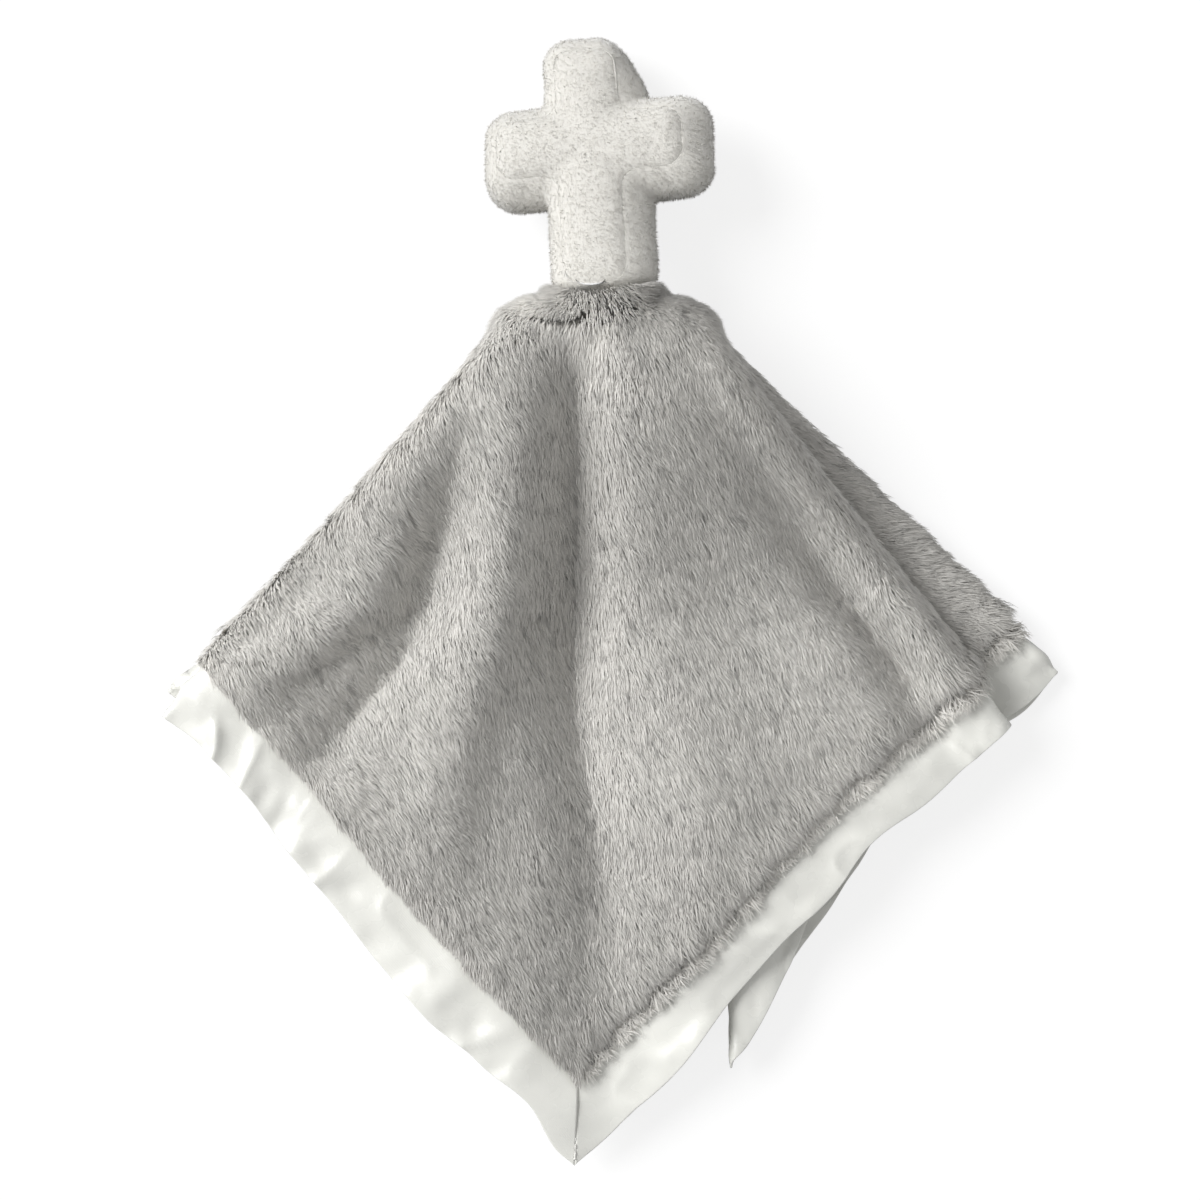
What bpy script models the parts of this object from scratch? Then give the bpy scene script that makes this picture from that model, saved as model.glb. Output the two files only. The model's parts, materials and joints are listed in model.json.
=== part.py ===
"""A comfort blanket lovey, laid on its back with its cross at the top.

A lined square of plush with a satin border hangs from its own middle, where a small stuffed cross
is sewn on. The square is folded like the end of a paper bag: a front quarter on top, a tongue
folded in on the left and on the right, and a back quarter underneath.

Axes: +X to the right, +Y from the blanket towards the cross, +Z up from the table it lies on.
The origin is the middle of the underside of the whole part's box.
"""

import math

import bmesh
import bpy
import numpy as np
from mathutils import Matrix, Vector

MM = 0.001
TURN = 2.0 * math.pi
PART_NAME = "comfort_blanket_lovey"

# Clearance between pieces that touch in the real thing, and the depth of the flat cut underneath
GAP = 0.3 * MM
FLAT_CUT = 0.5 * MM
WELD_DISTANCE = 0.001 * MM
DIFFERENCE_STEP = 0.05 * MM

# The flat blanket, before it is folded
SIDE = 360.0 * MM
BORDER_WIDTH = 18.0 * MM
BORDER_TUCK = 5.0 * MM
BORDER_THICKNESS = 0.6 * MM
PLUSH_THICKNESS = 3.3 * MM
PLUSH_THIN = 1.2 * MM
LINING_THICKNESS = 0.6 * MM

# The middle of the blanket, gathered into a shoulder that the cross stands on
SHOULDER_HALF_WIDTH = 28.5 * MM
SHOULDER_FRONT = 11.0 * MM
SHOULDER_BACK_CLEARANCE = 2.0 * MM
SHOULDER_ROUNDING = 6.0 * MM
SHOULDER_SPREAD = math.radians(9.0)
DIMPLE_RADIUS = 8.0 * MM
SHOULDER_ROWS = (4.5 * MM, DIMPLE_RADIUS, 14.0 * MM, 24.0 * MM, 36.0 * MM)

# The folds: where each lies on the flat blanket, where it points when laid down (0 is straight
# down from the cross, positive to the right), and how far apart its two layers are
FOLD_FLAT_ANGLES = np.radians((45.0, 90.0, 135.0, 225.0, 270.0, 315.0))
FOLD_PLAN_ANGLES = np.radians((39.0, 1.5, 47.0, -43.5, 2.0, -43.0))
LINING_TURN = 5.0 * MM
PLUSH_TURN = 7.4 * MM
FOLD_DROPS = (-LINING_TURN, -PLUSH_TURN, -LINING_TURN, LINING_TURN, PLUSH_TURN, LINING_TURN)
SETTLE_LENGTH = 95.0 * MM
STACK_LENGTH = 30.0 * MM
TONGUE_PACKED_SHARE = math.cos(math.radians(50.0))
TONGUE_FREE_SHARE = math.cos(math.radians(40.0))
TONGUE_TAKE_UP = 0.045
EDGE_TAKE_UP_SHARES = (0.04, 0.08, 0.08, 0.08, 0.0, 0.0, 0.0, 0.0)
BORDER_SETTLE = 1.6 * MM

# Soft ridges and valleys of the front quarter. Each follows a line given as shares of the side:
# how far down from the shoulder, how far across, and how strong it is there. A wave's two widths
# are those of its left and its right slope. The side valleys also press the layers below them,
# which follow more broadly
SAG_DEPTH = 7.0 * MM
VALLEY_DEPTH = 13.5 * MM
SIDE_VALLEY_DEPTH = 5.5 * MM
RIDGE_HEIGHT = 8.0 * MM
BROAD_RIDGE_HEIGHT = 4.0 * MM
EDGE_RIDGE_HEIGHT = 5.0 * MM
SAG_WIDTH = 18.0 * MM
VALLEY_LEFT_WIDTH = 12.0 * MM
VALLEY_RIGHT_WIDTH = 8.5 * MM
SIDE_VALLEY_WIDTH = 12.0 * MM
RIDGE_WIDTH = 10.0 * MM
WIDE_RIDGE_WIDTH = 13.0 * MM
BROAD_RIDGE_WIDTH = 20.0 * MM
EDGE_RIDGE_WIDTH = 8.0 * MM
PRESSED_WIDENING = 1.6
FRONT_WAVES = (
    {"height": -SAG_DEPTH, "left_width": SAG_WIDTH, "right_width": SAG_WIDTH,
     "down_shares": (0.167, 0.361, 0.556, 0.667),
     "across_shares": (-0.0111, 0.0, 0.0, -0.0056),
     "strength_shares": (0.0, 0.4, 0.8, 1.0)},
    {"height": -VALLEY_DEPTH, "left_width": VALLEY_LEFT_WIDTH, "right_width": VALLEY_RIGHT_WIDTH,
     "down_shares": (0.011, 0.044, 0.119, 0.225, 0.278, 0.325, 0.383, 0.447, 0.528),
     "across_shares": (-0.0222, -0.0208, -0.0208, -0.0222, -0.0228, -0.0208, -0.0111, 0.0, 0.0056),
     "strength_shares": (0.0, 0.55, 1.0, 1.0, 0.9, 0.7, 0.5, 0.25, 0.0)},
    {"height": RIDGE_HEIGHT, "left_width": WIDE_RIDGE_WIDTH, "right_width": RIDGE_WIDTH,
     "down_shares": (0.0, 0.067, 0.161, 0.225, 0.272, 0.319, 0.383, 0.458),
     "across_shares": (-0.0611, -0.0694, -0.0764, -0.0889, -0.1014, -0.1167, -0.1278, -0.1333),
     "strength_shares": (0.0, 0.6, 0.9, 1.0, 0.95, 0.85, 0.6, 0.0)},
    {"height": RIDGE_HEIGHT, "left_width": WIDE_RIDGE_WIDTH, "right_width": RIDGE_WIDTH,
     "down_shares": (0.044, 0.128, 0.225, 0.272, 0.319),
     "across_shares": (-0.1222, -0.1556, -0.1944, -0.2583, -0.2944),
     "strength_shares": (0.0, 0.6, 0.8, 0.75, 0.0)},
    {"height": BROAD_RIDGE_HEIGHT, "left_width": RIDGE_WIDTH, "right_width": BROAD_RIDGE_WIDTH,
     "down_shares": (0.0, 0.086, 0.225, 0.378, 0.517),
     "across_shares": (0.0111, 0.0222, 0.0389, 0.075, 0.0944),
     "strength_shares": (0.0, 0.8, 0.8, 0.6, 0.0)},
    {"height": BROAD_RIDGE_HEIGHT, "left_width": BROAD_RIDGE_WIDTH, "right_width": RIDGE_WIDTH,
     "down_shares": (0.056, 0.111, 0.161, 0.225, 0.272, 0.319, 0.367),
     "across_shares": (0.0556, 0.0778, 0.1056, 0.15, 0.1889, 0.2139, 0.2333),
     "strength_shares": (0.0, 0.4, 0.8, 1.0, 1.0, 0.8, 0.0)},
    {"height": EDGE_RIDGE_HEIGHT, "left_width": EDGE_RIDGE_WIDTH, "right_width": EDGE_RIDGE_WIDTH,
     "down_shares": (0.017, 0.072, 0.161, 0.225, 0.272, 0.336),
     "across_shares": (0.0833, 0.1167, 0.1806, 0.225, 0.2611, 0.2917),
     "strength_shares": (0.0, 0.4, 0.8, 1.0, 0.8, 0.0)},
)
SIDE_VALLEYS = (
    {"height": -SIDE_VALLEY_DEPTH, "left_width": SIDE_VALLEY_WIDTH, "right_width": RIDGE_WIDTH,
     "down_shares": (0.044, 0.094, 0.167, 0.225, 0.272, 0.319, 0.347, 0.392),
     "across_shares": (-0.0944, -0.1111, -0.1222, -0.1389, -0.1625, -0.2028, -0.2194, -0.2444),
     "strength_shares": (0.0, 0.5, 1.0, 0.95, 0.9, 0.85, 0.7, 0.0)},
    {"height": -SIDE_VALLEY_DEPTH, "left_width": SIDE_VALLEY_WIDTH, "right_width": EDGE_RIDGE_WIDTH,
     "down_shares": (0.033, 0.067, 0.106, 0.161, 0.225, 0.272, 0.319, 0.356),
     "across_shares": (0.0472, 0.075, 0.1139, 0.1528, 0.1972, 0.2361, 0.2556, 0.2694),
     "strength_shares": (0.0, 0.2, 0.25, 0.7, 1.0, 1.0, 0.6, 0.0)},
)

# The stuffed cross: a front and a back panel joined by a gusset
CROSS_ARM_REACH = 32.5 * MM
CROSS_TOP_REACH = 35.5 * MM
CROSS_CENTRE_HEIGHT = 33.5 * MM
PANEL_HALF_WIDTH = 9.0 * MM
GUSSET_BULGE = 6.0 * MM
SEAM_HALF_DEPTH = 9.5 * MM
PANEL_CROWN = 2.0 * MM
INNER_CORNER_RADIUS = 5.0 * MM
INNER_CORNER_MIN = 2.0 * MM
END_CORNER_SHARE = 0.7
LEG_DEPTH_SHARE = 0.87
LEG_TAPER_LENGTH = 22.0 * MM
CLOTH_SKIN = 1.2 * MM
CROSS_TILT = math.radians(-18.0)
CROSS_YAW = math.radians(-6.0)
CROSS_LEAN = math.radians(2.0)

# Threads
SEAM_THREAD_RADIUS = 0.3 * MM
BORDER_THREAD_RADIUS = 0.5 * MM
MITRE_THREAD_INSET = 1.5 * MM
NECK_ROLL_RADIUS = 1.2 * MM
NECK_ROLL_REACH = 5.0 * MM
NECK_SLACK = 0.5 * MM
NECK_PATCH_THICKNESS = 0.8 * MM

# How finely the surfaces are divided
FOLD_COLUMN_SHARES = (-1.6, -0.7, 0.0, 0.7, 1.6)
FOLD_ANGLE_CAP = math.radians(10.0)
FRONT_RIGHT_SHARES = (0.143, 0.286, 0.429, 0.571, 0.714, 0.857)
FRONT_LEFT_SHARES = (0.14, 0.28, 0.42, 0.59, 0.76, 0.92)
THIRD_SHARES = (0.333, 0.667)
COLUMN_SHARES = (FRONT_RIGHT_SHARES,) + 6 * (THIRD_SHARES,) + (FRONT_LEFT_SHARES,)
CORNER_ANGLES = np.radians((0.0, 90.0, 180.0, 270.0))
FOLD_COLUMN_STEPS = len(FOLD_COLUMN_SHARES) // 2
SKIRT_ROW_SHARES = (0.2, 0.42, 0.64, 0.84)
BORDER_ROWS = 2
ARC_POINTS = 4
LEG_END_POINTS = 9
PANEL_ROW_SHARES = (0.0, 0.45, 0.8, 1.0)
GUSSET_ROWS = 7
ROLL_SEGMENTS = 24
ROLL_SIDES = 8
THREAD_RESOLUTION = 1

# Colours read off the photograph: colour, roughness
FINISHES = {
    "grey_plush": ((0.48, 0.47, 0.445, 1.0), 0.95),
    "ivory_lining": ((0.70, 0.70, 0.67, 1.0), 0.45),
    "ivory_satin": ((0.82, 0.83, 0.80, 1.0), 0.30),
    "white_plush": ((0.80, 0.79, 0.76, 1.0), 0.92),
    "white_fill": ((0.85, 0.85, 0.84, 1.0), 1.0),
    "grey_thread": ((0.36, 0.35, 0.34, 1.0), 0.70),
    "white_thread": ((0.80, 0.80, 0.78, 1.0), 0.70),
    "white_patch": ((0.75, 0.75, 0.73, 1.0), 0.90),
}

# Sizes that follow from those above
HALF_SIDE = SIDE / 2.0
PLUSH_INNER = BORDER_THICKNESS / 2.0 + GAP
PLUSH_OUTER = PLUSH_INNER + PLUSH_THICKNESS
LINING_OUTER = -PLUSH_INNER
LINING_INNER = LINING_OUTER - LINING_THICKNESS
BOTTOM_LEVEL = PLUSH_OUTER - FLAT_CUT
TOP_LEVEL = BOTTOM_LEVEL + 2.0 * LINING_TURN + PLUSH_TURN
NECK_RADIUS = (SEAM_HALF_DEPTH + PANEL_CROWN) * LEG_DEPTH_SHARE
LEG_HALF_WIDTH = PANEL_HALF_WIDTH + GUSSET_BULGE
NECK_ROLL_OUTSIDE = NECK_ROLL_REACH + NECK_ROLL_RADIUS
NECK_BASE_SPHERE = math.hypot(NECK_ROLL_OUTSIDE, NECK_RADIUS * math.sqrt(
    1.0 - (NECK_ROLL_OUTSIDE / LEG_HALF_WIDTH) ** 2))
NECK_ROLL_SPHERE = NECK_BASE_SPHERE + NECK_SLACK + NECK_ROLL_RADIUS
DIMPLE_FACE_SPHERE = NECK_ROLL_SPHERE + NECK_ROLL_RADIUS + GAP
DIMPLE_SPHERE = DIMPLE_FACE_SPHERE + PLUSH_INNER + PLUSH_THIN
FOLD_SPANS = np.diff(np.append(FOLD_FLAT_ANGLES, FOLD_FLAT_ANGLES[0] + TURN))
FOLD_SLOPES_AFTER = np.diff(np.append(FOLD_PLAN_ANGLES, FOLD_PLAN_ANGLES[0])) / FOLD_SPANS
FOLD_SLOPES_BEFORE = np.roll(FOLD_SLOPES_AFTER, 1)
FOLD_SLOPES = 0.5 * (np.abs(FOLD_SLOPES_AFTER) + np.abs(FOLD_SLOPES_BEFORE))


def smooth_step(share):
    """Rise from 0 to 1 with level ends while the share goes from 0 to 1."""
    held = np.clip(share, 0.0, 1.0)
    return held * held * (3.0 - 2.0 * held)


def rounded_ramp(turned, width):
    """0 before the fold and the angle turned after it, rounded over the given width."""
    return 0.5 * width * np.logaddexp(0.0, 2.0 * turned / width)


def rounded_step(turned, width):
    """0 before the fold and 1 after it, rounded over the given width."""
    return 0.5 * (1.0 + np.tanh(turned / width))


def folded_directions(flat_angle, reach):
    """Plan angle and height of the folded blanket at flat angles, a given reach from the middle.

    Between two folds the plan angle runs evenly from one fold's direction to the next. Each fold
    is rounded by half the distance between its two layers. The folds of the turn before and the
    turn after are summed too, so that the blanket closes on itself.
    """
    front_slope = FOLD_SLOPES_AFTER[-1]
    front_plan = FOLD_PLAN_ANGLES[-1] + front_slope * (TURN - FOLD_FLAT_ANGLES[-1])
    plan = front_plan + front_slope * (flat_angle + TURN)
    level = np.full_like(plan, TOP_LEVEL)
    for lap in (-1, 0, 1):
        for fold, drop in enumerate(FOLD_DROPS):
            turned = flat_angle - (FOLD_FLAT_ANGLES[fold] + lap * TURN)
            width = 0.5 * abs(drop) / (reach * FOLD_SLOPES[fold])
            bend = FOLD_SLOPES_AFTER[fold] - FOLD_SLOPES_BEFORE[fold]
            plan = plan + bend * rounded_ramp(turned, width)
            level = level + drop * rounded_step(turned, width)
    return plan, level


def border_distance(flat_angle):
    """Distance from the middle of the square to its outer edge, at flat angles."""
    quarter = TURN / 4.0
    from_edge_middle = np.mod(flat_angle, quarter) - quarter / 2.0
    return HALF_SIDE / np.cos(from_edge_middle)


def edge_take_up(flat_angle, gone):
    """How much of the way down is lost between a fold and a corner, most at the middle of the edge.

    The eight shares belong to the half sides of the square, from the front corner round.
    """
    eighth = TURN / len(EDGE_TAKE_UP_SHARES)
    half_side = np.floor(np.mod(flat_angle, TURN) / eighth).astype(int) % len(EDGE_TAKE_UP_SHARES)
    between = np.sin(0.5 * TURN * flat_angle / eighth) ** 2
    reached = (gone / border_distance(flat_angle)) ** 2
    return np.array(EDGE_TAKE_UP_SHARES)[half_side] * between * reached


def wave_relief(waves, across, down, widening=1.0):
    """Height of the given ridges and valleys at places on the table."""
    relief = np.zeros_like(across)
    for wave in waves:
        downs = np.array(wave["down_shares"]) * SIDE
        line = np.interp(down, downs, np.array(wave["across_shares"]) * SIDE)
        strength = np.interp(down, downs, wave["strength_shares"])
        width = np.where(across < line, wave["left_width"], wave["right_width"]) * widening
        away = (across - line) / width
        relief += wave["height"] * strength * np.exp(-away * away)
    return relief


def cloth_middle(flat_angle, gone, pivot_height):
    """Where the blanket's middle surface lies, before any recentring.

    flat_angle is the direction on the flat square and gone the distance from its middle. The
    cloth starts in a dimple that the cross is sewn into, goes out over the shoulder, and then runs
    down in the folded direction. Its layers part at once, and the whole stack sinks to the table.
    The layers under the side valleys are pressed down, each by its share of the stack's height,
    so that the lowest one stays flat.
    """
    rim_angle = flat_angle + SHOULDER_SPREAD * np.sin(2.0 * flat_angle)
    rim_back = pivot_height - PLUSH_OUTER - SHOULDER_BACK_CLEARANCE
    rim_height = np.where(np.cos(rim_angle) > 0.0, SHOULDER_FRONT, rim_back) * np.cos(rim_angle)
    rim_side = SHOULDER_HALF_WIDTH * np.sin(rim_angle)
    rim = np.hypot(rim_side, rim_height)
    over = gone - rim
    bend = np.hypot(over, SHOULDER_ROUNDING)
    bend_at_middle = np.hypot(rim, SHOULDER_ROUNDING) - rim
    remaining = np.clip(1.0 - gone / rim, 0.0, 1.0)
    outward = rim - 0.5 * (bend - over) + 0.5 * bend_at_middle * remaining
    fallen = 0.5 * (bend + over) - 0.5 * bend_at_middle * remaining
    fallen = fallen * (1.0 - TONGUE_TAKE_UP * np.sin(flat_angle) ** 2)
    fallen = fallen * (1.0 - edge_take_up(flat_angle, gone))
    dimple = np.minimum(np.abs(outward), DIMPLE_RADIUS)
    shoulder_y = -np.sqrt(DIMPLE_SPHERE ** 2 - dimple ** 2)
    plan, level = folded_directions(flat_angle, fallen + 2.0 * SHOULDER_ROUNDING)
    across = outward * rim_side / rim + fallen * np.sin(plan)
    along = shoulder_y - fallen * np.cos(plan)
    settled = smooth_step(fallen / SETTLE_LENGTH)
    stacked = 1.0 - np.exp(-fallen / STACK_LENGTH)
    raised = pivot_height + outward * rim_height / rim
    height = raised + (BOTTOM_LEVEL - raised) * settled + (level - BOTTOM_LEVEL) * stacked
    down = shoulder_y - along
    on_front = np.clip((level - TOP_LEVEL + LINING_TURN) / LINING_TURN, 0.0, 1.0)
    up_the_stack = (level - BOTTOM_LEVEL) / (TOP_LEVEL - BOTTOM_LEVEL)
    pressed = up_the_stack * wave_relief(SIDE_VALLEYS, across, down, PRESSED_WIDENING)
    height = height + on_front * wave_relief(FRONT_WAVES + SIDE_VALLEYS, across, down)
    height = height + (1.0 - on_front) * pressed
    past_plush = smooth_step((gone - plush_edge(flat_angle)) / BORDER_WIDTH)
    height = height - BORDER_SETTLE * past_plush
    return np.stack((across, along, height), axis=-1)


def cloth_points(flat_angle, gone, offset, pivot_height):
    """Points at an offset from the blanket's middle surface, positive on the plush side.

    Nothing reaches below the table: what would is pressed flat on it.
    """
    shape = np.broadcast_shapes(np.shape(flat_angle), np.shape(gone), np.shape(offset))
    flat_angle = np.broadcast_to(flat_angle, shape).astype(float)
    gone = np.broadcast_to(gone, shape).astype(float)
    offset = np.broadcast_to(offset, shape)
    angle_step = DIFFERENCE_STEP / SHOULDER_HALF_WIDTH
    outwards = (cloth_middle(flat_angle, gone + DIFFERENCE_STEP, pivot_height)
                - cloth_middle(flat_angle, np.maximum(gone - DIFFERENCE_STEP, 0.0), pivot_height))
    around = (cloth_middle(flat_angle + angle_step, gone, pivot_height)
              - cloth_middle(flat_angle - angle_step, gone, pivot_height))
    normal = np.cross(outwards, around)
    size = np.linalg.norm(normal, axis=-1, keepdims=True)
    at_middle = (gone < DIFFERENCE_STEP)[..., None]
    normal = np.where(at_middle, (0.0, 1.0, 0.0), normal / np.where(at_middle, 1.0, size))
    points = cloth_middle(flat_angle, gone, pivot_height) + normal * offset[..., None]
    points[..., 2] = np.maximum(points[..., 2], 0.0)
    return points


def plush_edge(flat_angle):
    """Distance from the middle to where the plush and the lining end."""
    return border_distance(flat_angle) - BORDER_WIDTH


def column_angles(row):
    """Flat angles of the blanket's columns along one row, from the front corner round.

    At each fold the columns keep the same distances from the fold line at every row, as far as
    the cap on their angles lets them, and the columns between two folds lie at shares of what is
    left.
    """
    reach = np.maximum(row(FOLD_FLAT_ANGLES) - SHOULDER_HALF_WIDTH, 0.0) + 2.0 * SHOULDER_ROUNDING
    radii = 0.5 * np.abs(FOLD_DROPS)
    spread = np.minimum(FOLD_COLUMN_SHARES[-1] * radii / (reach * FOLD_SLOPES), FOLD_ANGLE_CAP)
    steps = np.array(FOLD_COLUMN_SHARES) / FOLD_COLUMN_SHARES[-1]
    knots = [(angle, np.zeros(1)) for angle in (0.0, TURN / 2.0)]
    knots += [(angle, steps * wide) for angle, wide in zip(FOLD_FLAT_ANGLES, spread)]
    knots.sort(key=lambda knot: knot[0])
    angles = []
    for index, (angle, around) in enumerate(knots):
        angles += list(angle + around)
        after, after_around = knots[(index + 1) % len(knots)]
        end = after + after_around[0] + (0.0 if after > angle else TURN)
        start = angle + around[-1]
        angles += list(start + (end - start) * np.array(COLUMN_SHARES[index]))
    return np.array(angles)


def cloth_grid(rows):
    """Flat angles and distances from the middle of every point of a sheet's rows."""
    angles = np.array([column_angles(row) for row in rows])
    gone = np.array([row(angle) for row, angle in zip(rows, angles)])
    return angles, gone


def held_row(distance):
    """A row at one distance from the middle."""
    return lambda angle: np.full_like(angle, distance)


def skirt_row(share):
    """A row at a share of the way from the last shoulder row to where the border is tucked in."""
    last = SHOULDER_ROWS[-1]
    return lambda angle: last + share * (plush_edge(angle) - BORDER_TUCK - last)


def hem_row(beyond):
    """A row at a distance beyond the plush's edge."""
    return lambda angle: plush_edge(angle) + beyond


def blanket_rows():
    """The rows of the plush and the lining, from the middle out to their edge."""
    rows = [held_row(distance) for distance in (0.0,) + SHOULDER_ROWS]
    rows += [skirt_row(share) for share in SKIRT_ROW_SHARES]
    return rows + [hem_row(-BORDER_TUCK), hem_row(0.0)]


def new_material(name):
    """A plain finish in the colour that the photograph shows."""
    material = bpy.data.materials.get(name)
    if material is None:
        colour, roughness = FINISHES[name]
        material = bpy.data.materials.new(name)
        material.use_nodes = True
        shader = material.node_tree.nodes["Principled BSDF"]
        shader.inputs["Base Color"].default_value = colour
        shader.inputs["Roughness"].default_value = roughness
        shader.inputs["Metallic"].default_value = 0.0
    return material


def finish_object(thing, collection, parent, material_name):
    """Give an object its material, its collection and the empty that carries it."""
    for other in list(thing.users_collection):
        other.objects.unlink(thing)
    collection.objects.link(thing)
    thing.data.materials.clear()
    thing.data.materials.append(new_material(material_name))
    thing.parent = parent
    return thing


def lofted_object(name, outer, inner=None, closed_round=True, walls=(0, -1)):
    """A solid between two surfaces of the same rows and columns, or one closed surface.

    outer and inner are arrays of rows, columns and 3. Walls join the rows named in walls, which
    leaves out a row that is drawn together to a point or a line, and the ends of the columns where
    these don't close round.
    """
    mesh = bpy.data.meshes.new(name)
    work = bmesh.new()
    sheets = [outer] if inner is None else [outer, inner]
    grids = [[[work.verts.new(point) for point in row] for row in sheet] for sheet in sheets]
    rows, columns = outer.shape[0], outer.shape[1]
    steps = columns if closed_round else columns - 1
    for side, grid in enumerate(grids):
        for row in range(rows - 1):
            for column in range(steps):
                beside = (column + 1) % columns
                near, out = grid[row][column], grid[row + 1][column]
                next_near, next_out = grid[row][beside], grid[row + 1][beside]
                for corners in ((near, out, next_out), (near, next_out, next_near)):
                    work.faces.new(corners if side == 0 else corners[::-1])
    if inner is not None:
        for row in walls:
            for column in range(steps):
                beside = (column + 1) % columns
                work.faces.new((grids[0][row][column], grids[0][row][beside],
                                grids[1][row][beside], grids[1][row][column]))
        if not closed_round:
            for column in (0, columns - 1):
                for row in range(rows - 1):
                    work.faces.new((grids[0][row][column], grids[0][row + 1][column],
                                    grids[1][row + 1][column], grids[1][row][column]))
    bmesh.ops.remove_doubles(work, verts=work.verts, dist=WELD_DISTANCE)
    loose = [face for face in work.faces if face.calc_area() < WELD_DISTANCE ** 2]
    bmesh.ops.delete(work, geom=loose, context="FACES")
    bmesh.ops.recalc_face_normals(work, faces=work.faces)
    work.to_mesh(mesh)
    work.free()
    mesh.shade_smooth()
    return bpy.data.objects.new(name, mesh)


def thread_object(name, line, radius, closed=False):
    """A thread as a round tube along a line of points."""
    curve = bpy.data.curves.new(name, "CURVE")
    curve.dimensions = "3D"
    curve.bevel_depth = radius
    curve.bevel_resolution = THREAD_RESOLUTION
    curve.use_fill_caps = True
    spline = curve.splines.new("POLY")
    spline.points.add(len(line) - 1)
    for point, place in zip(spline.points, line):
        point.co = (*place, 1.0)
    spline.use_cyclic_u = closed
    return bpy.data.objects.new(name, curve)


def pile_thickness(gone, flat_angle):
    """Thickness of the plush: flattened under the cross, in the tongues and along its hem."""
    off_neck = smooth_step((gone - DIMPLE_RADIUS) / DIMPLE_RADIUS)
    off_hem = smooth_step((plush_edge(flat_angle) - BORDER_TUCK - gone) / BORDER_TUCK)
    from_tongue = np.abs(np.cos(flat_angle))
    free = smooth_step((from_tongue - TONGUE_PACKED_SHARE) / (TONGUE_FREE_SHARE
                                                             - TONGUE_PACKED_SHARE))
    return PLUSH_THIN + (PLUSH_THICKNESS - PLUSH_THIN) * off_neck * off_hem * free


def make_blanket_face(pivot_height):
    """The plush side of the blanket."""
    angles, gone = cloth_grid(blanket_rows())
    outer = PLUSH_INNER + pile_thickness(gone, angles)
    return lofted_object("blanket_face", cloth_points(angles, gone, outer, pivot_height),
                         cloth_points(angles, gone, PLUSH_INNER, pivot_height), walls=(-1,))


def make_blanket_lining(pivot_height):
    """The lining, inside the folded blanket."""
    angles, gone = cloth_grid(blanket_rows())
    return lofted_object("blanket_lining", cloth_points(angles, gone, LINING_OUTER, pivot_height),
                         cloth_points(angles, gone, LINING_INNER, pivot_height), walls=(-1,))


def side_columns(row, start):
    """The flat angles of one row's columns along one side of the square, corner to corner."""
    angles = np.append(column_angles(row), TURN)
    first, last = (int(np.argmin(np.abs(angles - corner))) for corner in (start, start + TURN / 4.0))
    return angles[first:last + 1]


def make_border_strip(name, start, pivot_height):
    """The satin border along one side of the square, mitred at both ends."""
    rows = [hem_row(-BORDER_TUCK)]
    rows += [hem_row(BORDER_WIDTH * step / BORDER_ROWS) for step in range(BORDER_ROWS + 1)]
    angles = np.array([side_columns(row, start) for row in rows])
    gone = np.array([row(angle) for row, angle in zip(rows, angles)])
    angles[:, 0] += 0.5 * GAP / gone[:, 0]
    angles[:, -1] -= 0.5 * GAP / gone[:, -1]
    half = BORDER_THICKNESS / 2.0
    return lofted_object(name, cloth_points(angles, gone, half, pivot_height),
                         cloth_points(angles, gone, -half, pivot_height), closed_round=False)


def make_border_thread(name, start, pivot_height):
    """The row of stitching that holds one border strip, on the plush's thinned edge."""
    row = hem_row(-BORDER_TUCK)
    first, last = (FOLD_COLUMN_STEPS + 1 if math.cos(corner) ** 2 < 0.5 else 1
                   for corner in (start, start + TURN / 4.0))
    angles = side_columns(row, start)[first:-last]
    gone = row(angles)
    height = PLUSH_INNER + pile_thickness(gone, angles) + GAP + BORDER_THREAD_RADIUS
    line = cloth_points(angles, gone, height, pivot_height)
    return thread_object(name, line, BORDER_THREAD_RADIUS)


def make_mitre_thread(name, corner, pivot_height):
    """The short seam that joins two border strips at a corner, on their outer side."""
    edge = plush_edge(corner)
    ends = np.array((edge + MITRE_THREAD_INSET, edge + BORDER_WIDTH / BORDER_ROWS,
                     edge + BORDER_WIDTH - MITRE_THREAD_INSET))
    lift = BORDER_THICKNESS / 2.0 + GAP + BORDER_THREAD_RADIUS
    line = cloth_points(np.full(ends.shape, corner), ends, lift, pivot_height)
    return thread_object(name, line, BORDER_THREAD_RADIUS)


def make_neck_patch(pivot_height):
    """The round patch inside the blanket that the cross's stitches pull on."""
    radii = [0.0] + [radius for radius in SHOULDER_ROWS if radius <= DIMPLE_RADIUS]
    angles, gone = cloth_grid([held_row(radius) for radius in radii])
    near = LINING_INNER - GAP
    return lofted_object("neck_patch", cloth_points(angles, gone, near, pivot_height),
                         cloth_points(angles, gone, near - NECK_PATCH_THICKNESS, pivot_height),
                         walls=(-1,))


def make_neck_stitching():
    """The rolled ring of ladder stitches between the cross and the blanket, at the pivot."""
    bpy.ops.mesh.primitive_torus_add(
        major_radius=NECK_ROLL_REACH, minor_radius=NECK_ROLL_RADIUS,
        major_segments=ROLL_SEGMENTS, minor_segments=ROLL_SIDES)
    roll = bpy.context.object
    roll.name = "neck_stitching"
    below = math.sqrt(NECK_ROLL_SPHERE ** 2 - NECK_ROLL_REACH ** 2)
    lie_down = Matrix.Translation((0.0, -below, 0.0)) @ Matrix.Rotation(TURN / 4.0, 4, "X")
    roll.data.transform(lie_down)
    roll.data.shade_smooth()
    return roll


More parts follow.
